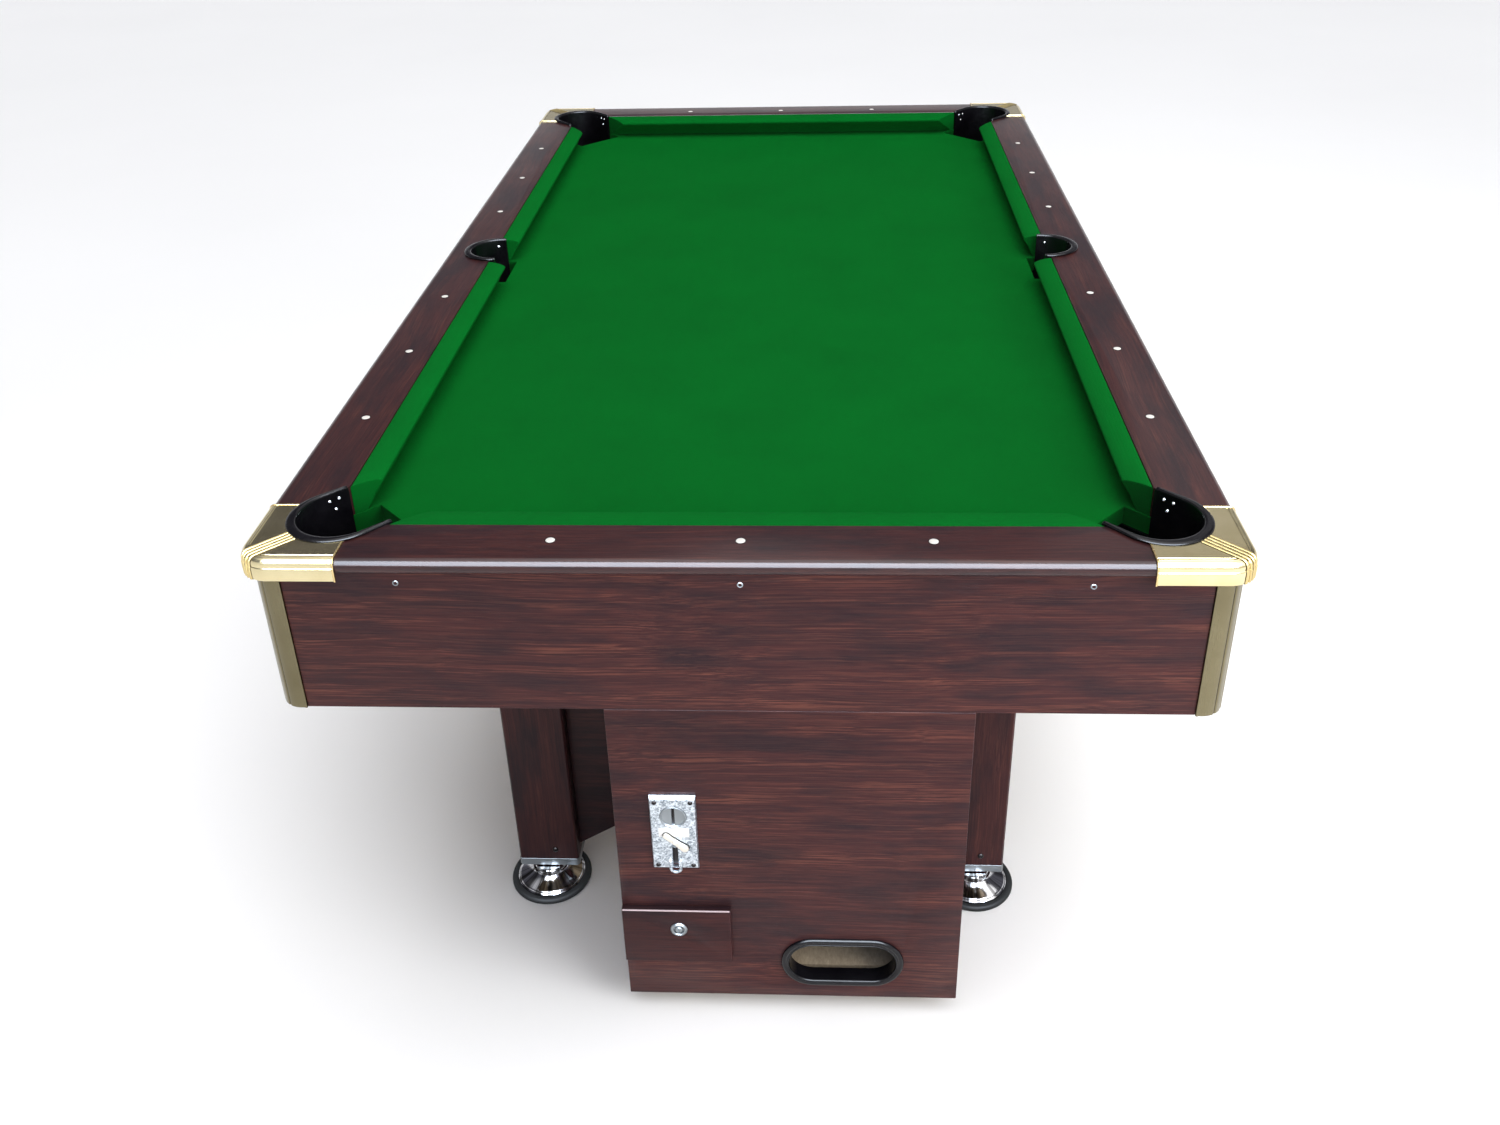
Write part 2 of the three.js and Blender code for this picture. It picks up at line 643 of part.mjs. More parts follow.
function addCabinet() {
  const front = -APRON_Y;
  const sleeve = BALL_PORT.rim - BALL_PORT.sleeve;
  const face = block(CABINET_LEFT, CABINET_RIGHT, front, INSIDE_FRONT, CABINET_BOTTOM, CABINET_TOP);
  const back = INSIDE_FRONT + PAST;
  const mechanismHalf = MECHANISM.width / 2 + MECHANISM.clearance;
  const mechanismRoom = block(
    COIN_PLATE.x - mechanismHalf, COIN_PLATE.x + mechanismHalf, front - PAST, back,
    MECHANISM.bottom - MECHANISM.clearance, MECHANISM.top + MECHANISM.clearance,
  );
  const cashRoom = block(
    CASH_BOX.left - CASH_BOX.clearance, CASH_BOX.right + CASH_BOX.clearance, front - PAST, back,
    CASH_BOX.bottom - CASH_BOX.clearance, CASH_BOX.top + CASH_BOX.clearance,
  );
  const portRoom = portPrism(sleeve - GAP, front - PAST, back);
  add('cabinet_front', cut(face, mechanismRoom, cashRoom, portRoom), 'wood');

  const y0 = INSIDE_FRONT + GAP;
  const y1 = INSIDE_BACK - GAP;
  const z0 = CABINET_BOTTOM;
  const floorTop = z0 + CABINET_BOARD;
  const dividerRight = DIVIDER_X + CABINET_BOARD;
  add('cabinet_left', block(CABINET_LEFT, INSIDE_LEFT, y0, y1, z0, CABINET_TOP), 'wood');
  add('cabinet_right', block(INSIDE_RIGHT, CABINET_RIGHT, y0, y1, z0, CABINET_TOP), 'wood');
  const rear = block(CABINET_LEFT, CABINET_RIGHT, INSIDE_BACK, CABINET_BACK_Y, z0, CABINET_TOP);
  add('cabinet_back', rear, 'wood');
  add('cabinet_floor', block(INSIDE_LEFT + GAP, INSIDE_RIGHT - GAP, y0, y1, z0, floorTop), 'board');
  add('cabinet_divider', block(DIVIDER_X, dividerRight, y0, y1, floorTop + GAP, CABINET_TOP), 'board');
}

function addBallPort() {
  const front = -APRON_Y;
  const face = front - BALL_PORT.proud;
  const flange = portPrism(0, face, front - GAP);
  const back = front + BALL_PORT.depth;
  const sleeve = portPrism(BALL_PORT.rim - BALL_PORT.sleeve, face, back);
  const hole = portPrism(BALL_PORT.rim, face - PAST, back + PAST);
  add('ball_port_bezel', cut(join(flange, sleeve), hole), 'blackPlastic');
}

// ---------------------------------------------------------------- coin gear

function addCoinPlate() {
  const back = -APRON_Y - GAP;
  const front = -APRON_Y - COIN_PLATE.proud;
  const { x } = COIN_PLATE;
  const half = COIN_PLATE.width / 2;
  const { chamfer } = COIN_PLATE;
  const outline = [
    point(front, COIN_PLATE.bottom + chamfer), point(front + chamfer, COIN_PLATE.bottom),
    point(back, COIN_PLATE.bottom), point(back, COIN_PLATE.top),
    point(front + chamfer, COIN_PLATE.top), point(front, COIN_PLATE.top - 2 * chamfer),
  ];
  const plate = prismX(outline, x - half, x + half);
  const cupOutline = (inset) => {
    const radius = RETURN_CUP.half - inset;
    const middle = RETURN_CUP.bottom + RETURN_CUP.half;
    const top = RETURN_CUP.top + (inset > 0 ? PAST : 0);
    const bowl = arc(x, middle, radius, 180, 360, SMALL_ARC_STEPS);
    return [...bowl, point(x + radius, top), point(x - radius, top)];
  };
  const cup = prismY(cupOutline(0), -APRON_Y - RETURN_CUP.proud, back);
  const cupInside = prismY(cupOutline(RETURN_CUP.wall), -APRON_Y - RETURN_CUP.proud - PAST, back - GAP);
  const returnSlot = block(
    x - RETURN_SLOT.width / 2, x + RETURN_SLOT.width / 2,
    front - PAST, back + PAST, RETURN_SLOT.bottom, RETURN_SLOT.top,
  );
  const dish = pinY(x, COIN_DISH.z, COIN_DISH.radius, front - PAST, front + COIN_DISH.depth, ROUND_SIDES);
  const slot = block(
    x - COIN_SLOT.width / 2, x + COIN_SLOT.width / 2, front - PAST, back + PAST,
    COIN_DISH.z - COIN_SLOT.height / 2, COIN_DISH.z + COIN_SLOT.height / 2,
  );
  const pinHole = pinY(LEVER.x, LEVER.z, LEVER.pin + GAP, front - PAST, back + PAST);
  add('coin_plate', cut(join(plate, cup), cupInside, returnSlot, dish, slot, pinHole), 'zinc');
}

function addRejectLever() {
  const front = -APRON_Y - COIN_PLATE.proud - GAP;
  const bar = [
    ...arc(LEVER.half, 0, LEVER.radius, -90, 90, SMALL_ARC_STEPS),
    ...arc(-LEVER.half, 0, LEVER.radius, 90, 270, SMALL_ARC_STEPS),
  ];
  const tilt = THREE.MathUtils.degToRad(LEVER.tilt);
  const outline = bar.map((p) => point(
    LEVER.x + p.x * Math.cos(tilt) - p.y * Math.sin(tilt),
    LEVER.z + p.x * Math.sin(tilt) + p.y * Math.cos(tilt),
  ));
  const blade = prismY(outline, front - LEVER.thick, front);
  const pin = pinY(LEVER.x, LEVER.z, LEVER.pin, front - OVERLAP, -APRON_Y - GAP);
  add('coin_reject_lever', join(blade, pin), 'zinc');
}

function addMechanism() {
  const x0 = COIN_PLATE.x - MECHANISM.width / 2;
  const x1 = COIN_PLATE.x + MECHANISM.width / 2;
  const front = -APRON_Y;
  const back = front + MECHANISM.depth;
  const { hopper } = MECHANISM;
  const outline = [
    point(front, MECHANISM.bottom), point(back, MECHANISM.bottom),
    point(back, MECHANISM.top - hopper), point(back - hopper, MECHANISM.top), point(front, MECHANISM.top),
  ];
  const body = prismX(outline, x0, x1);
  const chute = block(
    COIN_PLATE.x - COIN_SLOT.width, COIN_PLATE.x + COIN_SLOT.width,
    back - 2 * hopper, back - hopper, MECHANISM.bottom - PAST, MECHANISM.bottom + hopper,
  );
  add('coin_mechanism', cut(body, chute), 'steel');
}

function addCashDrawer() {
  const back = -APRON_Y - GAP;
  const panel = block(
    CABINET_LEFT, CASH_FRONT.right, back - CASH_FRONT.thick, back, CASH_FRONT.bottom, CASH_FRONT.top,
  );
  const bore = pinY(LOCK.x, LOCK.z, LOCK.radius + GAP, back - 2 * PAST, back + PAST);
  add('cash_drawer_front', cut(panel, bore), 'wood');

  const { left, right, bottom, top, depth, wall } = CASH_BOX;
  const y0 = -APRON_Y;
  const box = block(left, right, y0, y0 + depth, bottom, top);
  const inside = block(
    left + wall, right - wall, y0 - PAST, y0 + depth - wall, bottom + wall, top + PAST,
  );
  add('cash_box', cut(box, inside), 'steel');

  add('cash_shelf', block(
    INSIDE_LEFT + GAP, DIVIDER_X - GAP, INSIDE_FRONT + GAP, INSIDE_BACK - GAP,
    bottom - GAP - CASH_SHELF_THICK, bottom - GAP,
  ), 'board');
}

function addLock() {
  const face = -APRON_Y - 2 * GAP - CASH_FRONT.thick;
  const end = face + LOCK.depth;
  const head = pinY(LOCK.x, LOCK.z, LOCK.headRadius, face - LOCK.headThick, face, ROUND_SIDES);
  const barrel = pinY(LOCK.x, LOCK.z, LOCK.radius, face - OVERLAP, end, ROUND_SIDES);
  const cam = block(
    LOCK.x - LOCK_CAM.width / 2, LOCK.x + LOCK_CAM.width / 2,
    end - OVERLAP, end + LOCK_CAM.thick, LOCK.z - LOCK_CAM.width / 2, LOCK.z + LOCK_CAM.reach,
  );
  add('lock_barrel', join(head, barrel, cam), 'chrome');
}

addBed();
addRails();
addCushions();
addLiners();
addCastings();
addAprons();
addCornerTrims();
addLegs();
addLegPanels();
addFeet();
addRunways();
addBallStore();
addCabinet();
addBallPort();
addCoinPlate();
addRejectLever();
addMechanism();
addCashDrawer();
addLock();

export default table;
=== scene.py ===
"""The looks of a coin-operated pool table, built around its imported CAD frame. All lengths are in metres."""

import math

import bmesh
import bpy
from mathutils import Matrix, Vector


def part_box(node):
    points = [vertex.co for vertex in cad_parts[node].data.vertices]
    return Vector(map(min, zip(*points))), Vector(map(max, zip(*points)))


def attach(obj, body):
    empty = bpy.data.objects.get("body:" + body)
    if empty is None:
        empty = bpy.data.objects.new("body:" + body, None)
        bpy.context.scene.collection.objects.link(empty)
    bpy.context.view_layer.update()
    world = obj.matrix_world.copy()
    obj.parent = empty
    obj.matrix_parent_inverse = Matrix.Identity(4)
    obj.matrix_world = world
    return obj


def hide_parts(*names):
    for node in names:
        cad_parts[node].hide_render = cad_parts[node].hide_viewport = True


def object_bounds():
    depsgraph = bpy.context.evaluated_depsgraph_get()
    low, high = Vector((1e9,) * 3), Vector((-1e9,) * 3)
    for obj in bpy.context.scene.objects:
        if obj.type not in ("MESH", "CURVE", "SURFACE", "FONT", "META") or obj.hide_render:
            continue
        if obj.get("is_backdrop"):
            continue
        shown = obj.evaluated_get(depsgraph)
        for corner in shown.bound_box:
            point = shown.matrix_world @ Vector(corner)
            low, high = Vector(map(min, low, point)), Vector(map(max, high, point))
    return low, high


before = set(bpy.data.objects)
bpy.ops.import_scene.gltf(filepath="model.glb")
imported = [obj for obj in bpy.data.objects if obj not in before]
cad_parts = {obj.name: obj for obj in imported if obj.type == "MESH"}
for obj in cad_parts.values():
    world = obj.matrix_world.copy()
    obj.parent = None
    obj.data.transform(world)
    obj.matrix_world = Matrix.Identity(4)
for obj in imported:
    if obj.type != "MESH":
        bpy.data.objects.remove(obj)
CAD_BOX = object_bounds()


def low(node):
    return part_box(node)[0]


def high(node):
    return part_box(node)[1]


# ---------------------------------------------------------------- sizes used throughout

WELD = 1e-5  # points closer than this are one point
GAP = 0.0003  # clearance between separate pieces that meet
PAST = 0.01  # how far a cutting tool runs past the face that it cuts
TINY_SIDES = 16  # how many sides a turned piece has
SMALL_SIDES = 24
RING_SIDES = 48
ROUND_SIDES = 64
FOOT_SIDES = 96
WOOD_EDGE = 0.0011  # radius on the edges of a laminated board
PANEL_EDGE = 0.0009  # the same on the cabinet's boards

# ---------------------------------------------------------------- places read from the frame

HALF_WIDTH = high("rail_right").x
HALF_LENGTH = high("rail_far").y
RAIL_TOP = high("rail_right").z
RAIL_UNDER = high("apron_near").z + GAP
WOOD_X = low("rail_right").x  # inner edges of the rail wood
WOOD_Y = low("rail_far").y
CLOTH_TOP = high("bed_cloth").z
BED_UNDER = low("playing_bed").z
APRON_X = high("apron_right").x  # outer faces of the aprons
APRON_Y = high("apron_far").y
FLANGE_TOP = high("pocket_liner_far_right").z
LINER_BOTTOM = low("pocket_liner_far_right").z
FRONT_Y = low("cabinet_front").y

# ---------------------------------------------------------------- driving dimensions

CORNER_RADIUS = 0.058  # inside of a corner pocket's liner
CORNER_ARM = 0.085  # its hole runs this far from the centre towards the bed
CORNER_WALL_ARM = 0.040  # its wall above the bed ends here
SIDE_WALL_ARM = 0.004
SIDE_ARM = 0.022
ROOM_ARM = 0.150  # the room cut for a liner runs this far towards the bed, past the rail's wood
LINER_WALL = 0.005
FLANGE_WIDTH = 0.008
FLANGE_SHIFT = 0.006  # the flange is wider on its outer side by this much
FLANGE_THICK = 0.003

SIGHT_STEP = 0.242
SIGHT_ON_LONG = 0.040  # from the inner edge of a long rail's wood
SIGHT_ON_SHORT = 0.037
SIGHT_RADIUS = 0.006

DIAGONAL = math.sqrt(0.5)
SIDE_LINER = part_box("pocket_liner_side_right")
SIDE_RADIUS = SIDE_LINER[1].y - FLANGE_WIDTH
CORNER_FLANGE = CORNER_RADIUS + FLANGE_WIDTH + FLANGE_SHIFT * DIAGONAL

SIDES = {"left": -1, "right": 1}
ENDS = {"near": -1, "far": 1}
CORNERS = {f"{end}_{side}": (x, y) for end, y in ENDS.items() for side, x in SIDES.items()}


class Pocket:
    """A pocket's plan: a half circle that bulges outwards, in its own directions out and across."""

    def __init__(self, name, sign, turn, centre, radius, arm, wall_arm):
        self.name = name
        self.sign = sign
        self.corner = turn > 0
        self.centre = Vector(centre)
        self.radius = radius
        self.room = radius + LINER_WALL + GAP
        self.arm = arm
        self.wall_arm = wall_arm
        self.out = Vector((math.cos(turn), math.sin(turn)))
        self.across = Vector((-math.sin(turn), math.cos(turn)))

    def place(self, out, across, z):
        point = self.centre + self.out * out + self.across * across
        return Vector((point.x * self.sign[0], point.y * self.sign[1], z))

    def plan(self, points):
        return [tuple(self.place(out, across, 0).xy) for out, across in points]


def pockets():
    centre = high("pocket_liner_far_right") - Vector((CORNER_FLANGE, CORNER_FLANGE, 0))
    found = [
        Pocket(name, sign, math.pi / 4, centre.xy, CORNER_RADIUS, CORNER_ARM, CORNER_WALL_ARM)
        for name, sign in CORNERS.items()
    ]
    side_x = SIDE_LINER[1].x - FLANGE_SHIFT - FLANGE_WIDTH - SIDE_RADIUS
    for name, sign in SIDES.items():
        found.append(Pocket(f"side_{name}", (sign, 1), 0, (side_x, 0), SIDE_RADIUS, SIDE_ARM, SIDE_WALL_ARM))
    return found


POCKETS = pockets()

# ---------------------------------------------------------------- materials


def colour(red, green, blue):
    """A display colour, each part from 0 to 255, as linear light by the sRGB curve."""
    linear = [((c / 255 + 0.055) / 1.055) ** 2.4 if c > 10 else c / 255 / 12.92 for c in (red, green, blue)]
    return (*linear, 1.0)


def fill_ramp(node, stops):
    """Puts positions and colours on a colour ramp, which starts with two."""
    points = node.color_ramp.elements
    while len(points) < len(stops):
        points.new(0.5)
    for point, (position, shade) in zip(points, stops):
        point.position = position
        point.color = shade


class Finish:
    """A Principled material, with short calls for the nodes that give it its detail."""

    def __init__(self, name, **settings):
        self.material = bpy.data.materials.new(name)
        self.material.use_nodes = True
        self.nodes = self.material.node_tree.nodes
        self.links = self.material.node_tree.links
        self.shader = self.nodes["Principled BSDF"]
        self.bumped = None
        for key, value in settings.items():
            self.shader.inputs[key.replace("_", " ")].default_value = value

    def add(self, kind, inputs, output=0, **settings):
        node = self.nodes.new("ShaderNode" + kind)
        for key, value in settings.items():
            setattr(node, key, value)
        for key, value in inputs.items():
            if isinstance(value, bpy.types.NodeSocket):
                self.links.new(value, node.inputs[key])
            else:
                node.inputs[key].default_value = value
        return node.outputs[output]

    def drive(self, key, value):
        self.links.new(value, self.shader.inputs[key])

    def space(self, scale=(1, 1, 1), offset=(0, 0, 0), source=None):
        """Places on the object in metres, stretched by scale."""
        source = source or self.add("TexCoord", {}, output=3)
        return self.add("Mapping", {"Vector": source, "Scale": scale, "Location": offset})

    def noise(self, vector, scale, detail=3.0, roughness=0.5, distortion=0.0):
        return self.add("TexNoise", {
            "Vector": vector, "Scale": scale, "Detail": detail,
            "Roughness": roughness, "Distortion": distortion,
        })

    def wander(self, vector, scale, amount):
        """The same places, pushed about by a slow noise."""
        push = self.add("TexNoise", {"Vector": vector, "Scale": scale, "Detail": 2.0}, output=1)
        centred = self.add("VectorMath", {0: push, 1: (0.5, 0.5, 0.5)}, operation="SUBTRACT")
        scaled = self.add("VectorMath", {0: centred, "Scale": amount}, operation="SCALE")
        return self.add("VectorMath", {0: vector, 1: scaled}, operation="ADD")

    def spread(self, value, start, end, to_low, to_high):
        """A value between start and end, spread over another range and held inside it."""
        return self.add("MapRange", {
            "Value": value, "From Min": start, "From Max": end, "To Min": to_low, "To Max": to_high,
        })

    def ramp(self, value, *stops):
        shade = self.add("ValToRGB", {0: value})
        fill_ramp(shade.node, stops)
        return shade

    def mix(self, factor, one, two, blend="MIX"):
        """Two colours mixed. Sockets 6, 7 and 2 are the node's two colours and its result."""
        return self.add("Mix", {0: factor, 6: one, 7: two}, 2, data_type="RGBA", blend_type=blend)

    def math(self, operation, one, two):
        return self.add("Math", {0: one, 1: two}, operation=operation)

    def mean(self, one, two):
        return self.math("MULTIPLY", self.math("ADD", one, two), 0.5)

    def bump(self, height, distance):
        """Adds a relief of that depth on top of what the surface already has."""
        inputs = {"Height": height, "Distance": distance}
        if self.bumped:
            inputs["Normal"] = self.bumped
        self.bumped = self.add("Bump", inputs)
        self.drive("Normal", self.bumped)


WOOD_DARK = colour(44, 25, 28)
WOOD_MIDDLE = colour(63, 33, 34)
WOOD_LIGHT = colour(78, 41, 38)
WOOD_PATCH = colour(40, 26, 31)
WOOD_STREAK = colour(110, 64, 52)


def stretched(grain, along, across):
    """Scales that draw a pattern out along the grain."""
    return [along if axis == grain else across for axis in "XYZ"]


def wood_finish(name, grain, shade=1.0, figure=1.0, coat=0.05, gloss=0.10):
    """Printed mahogany laminate. grain is the direction of its streaks, shade darkens it, figure is the
    strength of its lighter lines, coat that of its varnish and gloss that of the surface under it."""
    f = Finish(name, Coat_Weight=coat, Coat_Roughness=0.17, Specular_IOR_Level=gloss)
    bent = f.wander(f.space(), scale=1.3, amount=0.035)
    bent = f.wander(bent, scale=5.0, amount=0.012)
    drawn_out = f.space(stretched(grain, 0.6, 24.0), source=bent)
    streaks = f.noise(drawn_out, scale=8.0, detail=8.0, roughness=0.72, distortion=0.25)
    base = f.ramp(streaks, (0.30, WOOD_DARK), (0.50, WOOD_MIDDLE), (0.70, WOOD_LIGHT))

    broad = f.space(stretched(grain, 3.0, 14.0), offset=(3.1, 1.7, 0.6), source=bent)
    patches = f.noise(broad, scale=2.0, detail=5.0, roughness=0.6)
    base = f.mix(f.spread(patches, 0.47, 0.64, 0.0, 0.85), base, WOOD_PATCH)

    rings = f.add("TexWave", {
        "Vector": f.space(stretched(grain, 0.2, 4.0), offset=(0.13, 0.4, 0.2), source=bent), "Scale": 3.2,
        "Distortion": 9.0, "Detail": 5.0, "Detail Scale": 1.6, "Detail Roughness": 0.7,
    }, wave_type="RINGS", rings_direction="SPHERICAL")
    patchy = f.spread(patches, 0.40, 0.56, 0.80 * figure, 0.30 * figure)
    light = f.math("MULTIPLY", f.spread(rings, 0.60, 0.95, 0.40, 1.0), patchy)

    fine = f.space(stretched(grain, 0.5, 36.0), source=bent)
    hairs = f.noise(fine, scale=13.0, detail=5.0, roughness=0.62)
    base = f.mix(f.math("MULTIPLY", light, f.spread(hairs, 0.48, 0.60, 0.0, 1.0)), base, WOOD_STREAK)
    pores = f.noise(fine, scale=34.0, detail=3.0, roughness=0.6)
    pore_depth = f.spread(pores, 0.58, 0.70, 0.0, 0.8)
    base = f.mix(pore_depth, base, WOOD_DARK)
    if shade != 1.0:
        wear = f.noise(f.space(), scale=3.0)
        dim = f.spread(wear, 0.3, 0.7, shade - 0.05, shade + 0.05)
        base = f.mix(1.0, base, dim, "MULTIPLY")
    f.drive("Base Color", base)
    smears = f.noise(f.space(), scale=5.0, detail=4.0, roughness=0.6)
    f.drive("Roughness", f.spread(f.math("ADD", smears, pores), 0.7, 1.3, 0.32, 0.46))
    f.bump(pore_depth, -0.00010)
    f.bump(hairs, 0.00006)
    return f.material


def cloth_finish(name, shade):
    """Woven wool: crossed threads with painted shade between them, a nap that catches light (a little sheen,
    and a painted sheen on the fibre tips), and slow mottling.
    """
    f = Finish(
        name, Specular_IOR_Level=0.02, Sheen_Weight=0.01, Sheen_Roughness=0.5,
        Sheen_Tint=colour(60, 190, 90), Roughness=0.95,
    )
    place = f.space()
    weft, warp, rise = (
        f.add("TexWave", {"Vector": place, "Scale": 330.0, "Distortion": 1.2}, bands_direction=axis)
        for axis in "XYZ"
    )
    weave = f.math("MULTIPLY", f.math("MAXIMUM", weft, rise), warp)
    fuzz = f.noise(place, scale=900.0, detail=2.0, roughness=0.7)
    mottle = f.noise(place, scale=6.0, detail=5.0, roughness=0.6)
    red, green, blue = shade
    middle = colour(red, green, blue)
    deep = colour(red, green * 0.96, blue * 0.95)
    pale = colour(red, green * 1.03, blue * 1.04)
    base = f.ramp(mottle, (0.30, deep), (0.52, middle), (0.75, pale))
    # Darker green between the threads is painted shade; lighter green on the fibre tips is a painted sheen.
    painted_thread_shade = colour(0, 60, 18)
    painted_fibre_sheen = colour(6, 134, 48)
    base = f.mix(f.spread(weave, 0.0, 1.0, 0.22, 0.0), base, painted_thread_shade)
    base = f.mix(f.spread(fuzz, 0.55, 0.75, 0.0, 0.16), base, painted_fibre_sheen)
    f.drive("Base Color", base)
    f.bump(weave, 0.00022)
    f.bump(fuzz, 0.00012)
    return f.material


def board_finish(name, light, dark):
    """Raw fibreboard: short pressed fibres and a cloudy tone."""
    f = Finish(name, Specular_IOR_Level=0.2)
    fibres = f.noise(f.space((260, 90, 260)), scale=1.0, detail=5.0, roughness=0.72, distortion=0.6)
    clouds = f.noise(f.space(), scale=9.0, detail=5.0, roughness=0.62)
    f.drive("Base Color", f.ramp(f.mean(fibres, clouds), (0.34, colour(*dark)), (0.62, colour(*light))))
    f.drive("Roughness", f.spread(clouds, 0.3, 0.7, 0.72, 0.9))
    f.bump(fibres, 0.0003)
    return f.material


def metal_finish(name, light, dark, roughness, scratch=(180, 180, 180), relief=0.00003):
    """Metal with a slow tarnish, scratches stretched by scratch, and the roughness that goes with them."""
    f = Finish(name, Metallic=1.0)
    tarnish = f.noise(f.space(), scale=6.0, detail=5.0, roughness=0.6)
    lines = f.noise(f.space(scratch), scale=1.0, detail=6.0, roughness=0.7)
    f.drive("Base Color", f.ramp(tarnish, (0.30, colour(*dark)), (0.66, colour(*light))))
    wear = f.mean(tarnish, lines)
    f.drive("Roughness", f.spread(wear, 0.36, 0.64, roughness * 0.75, roughness * 1.3))
    f.bump(lines, relief)
    return f.material


def zinc_finish(name):
    """Zinc plating: crystals of lighter and darker grey, a little dull."""
    f = Finish(name, Metallic=1.0)
    place = f.space()
    bent = f.wander(place, scale=90.0, amount=0.006)
    crystals = f.add("TexVoronoi", {"Vector": bent, "Scale": 430.0}, output=1)
    grey = f.add("SeparateColor", {0: crystals})
    clouds = f.noise(place, scale=45.0, detail=5.0, roughness=0.65)
    tone = f.mean(grey, clouds)
    f.drive("Base Color", f.ramp(tone, (0.25, colour(122, 131, 139)), (0.70, colour(214, 220, 225))))
    f.drive("Roughness", f.spread(grey, 0.0, 1.0, 0.30, 0.42))
    f.bump(tone, 0.00002)
    return f.material


def plastic_finish(name, shade, roughness, relief=0.00006):
    """Moulded plastic or rubber: a fine even grain and faint handling marks."""
    f = Finish(name, Specular_IOR_Level=0.28)
    grain = f.noise(f.space(), scale=1400.0, detail=2.0, roughness=0.5)
    marks = f.noise(f.space(), scale=18.0, detail=6.0, roughness=0.65)
    marked = [part + 14 for part in shade]
    f.drive("Base Color", f.ramp(marks, (0.3, colour(*shade)), (0.8, colour(*marked))))
    f.drive("Roughness", f.spread(marks, 0.3, 0.7, roughness - 0.06, roughness + 0.08))
    f.bump(grain, relief)
    return f.material


def turned_finish(name, centre):
    """Spun chrome: fine rings round an upright axis, and darker and brighter streaks that fan out from it,
    painted into the base colour as a reflection.
    """
    f = Finish(name, Metallic=1.0)
    place = f.space(offset=(-centre[0], -centre[1], 0))
    rings = f.add("TexWave", {
        "Vector": place, "Scale": 260.0, "Distortion": 0.4,
    }, wave_type="RINGS", rings_direction="Z")
    flat = f.add("VectorMath", {0: place, 1: (1.0, 1.0, 0.0)}, operation="MULTIPLY")
    heading = f.add("VectorMath", {0: flat}, operation="NORMALIZE")
    streaks = f.noise(heading, scale=2.6, detail=6.0, roughness=0.62)
    marks = f.noise(place, scale=30.0, detail=6.0, roughness=0.7)
    # The dark and bright radial streaks in the base colour are a painted reflection.
    f.drive("Base Color", f.ramp(streaks, (0.42, colour(70, 68, 66)), (0.60, colour(232, 232, 234))))
    f.drive("Roughness", f.spread(marks, 0.3, 0.7, 0.05, 0.14))
    f.bump(rings, 0.00001)
    return f.material


FAINT = 0.000008  # the depth of the scratches in polished metal

WOOD = {axis: wood_finish(f"mahogany_laminate_{axis.lower()}", axis) for axis in "XY"}
RAIL_WOOD = {
    axis: wood_finish(f"mahogany_rail_{axis.lower()}", axis, shade=0.84, figure=0.45, coat=0.6, gloss=0.06)
    for axis in "XY"
}
LEG_WOOD = wood_finish("mahogany_leg", "Z", shade=0.86, figure=0.45)
WOOD_PLAIN = wood_finish("mahogany_laminate_plain", "X", shade=0.80, figure=0.2)
# A darker copy of the laminate for the leg panels, which stand in shadow behind the legs: painted shade.
WOOD_PAINTED_SHADE = wood_finish("mahogany_laminate_painted_shade", "X", shade=0.62, figure=0.3)
CLOTH = cloth_finish("green_bed_cloth", (0, 97, 28))
CUSHION_CLOTH = cloth_finish("green_cushion_cloth", (0, 101, 31))
BOARD = board_finish("fibreboard", (184, 166, 138), (134, 117, 94))
BRASS = metal_finish("satin_brass", (228, 214, 172), (208, 192, 144), 0.20, relief=FAINT)
BRIGHT_BRASS = metal_finish("polished_brass", (224, 200, 146), (206, 178, 122), 0.26, relief=FAINT)
RIB_GOLD = metal_finish("brushed_gold", (206, 186, 132), (182, 160, 108), 0.42, relief=FAINT)
GOLD_TRIM = metal_finish("gold_anodised", (121, 113, 88), (101, 93, 70), 0.24, (500, 500, 12))
# Near-black colour for the lines in the grooves of the castings and trims: painted shade.
GROOVE_PAINTED_SHADE = metal_finish("painted_groove_shade", (54, 42, 25), (34, 26, 15), 0.4)
CHROME = metal_finish("chrome", (232, 232, 235), (205, 206, 210), 0.08)
STEEL = metal_finish("sheet_steel", (150, 154, 156), (112, 117, 119), 0.36, (40, 40, 700))
# Also given to the coin mechanism, where its darkness is painted shade seen through the coin slot.
DARK_STEEL = metal_finish("blackened_steel", (58, 55, 54), (34, 32, 32), 0.42)
NICKEL = metal_finish("cast_nickel", (240, 234, 222), (214, 204, 188), 0.30)
ZINC = zinc_finish("zinc_plate")
BLACK = plastic_finish("black_moulding", (7, 6, 10), 0.20)
RUBBER = plastic_finish("black_rubber", (16, 17, 16), 0.62, relief=0.00012)
WHITE_PLASTIC = plastic_finish("white_sight", (216, 212, 206), 0.34)
# Pale colour for the strip on the cash drawer's upper edge: a painted highlight.
PAINTED_EDGE_HIGHLIGHT = plastic_finish("painted_edge_highlight", (168, 146, 148), 0.4)
LABEL = plastic_finish("blank_label", (222, 222, 220), 0.5)

# ---------------------------------------------------------------- mesh helpers


def arc(x, y, radius, start, end, steps):
    """Points on part of a circle, between two angles in degrees."""
    angles = [math.radians(start + (end - start) * i / steps) for i in range(steps + 1)]
    return [(x + radius * math.cos(a), y + radius * math.sin(a)) for a in angles]


def oblong(x0, y0, x1, y1):
    return [(x0, y0), (x1, y0), (x1, y1), (x0, y1)]


def mirrored(points, sign):
    return [(x * sign[0], y * sign[1]) for x, y in points]


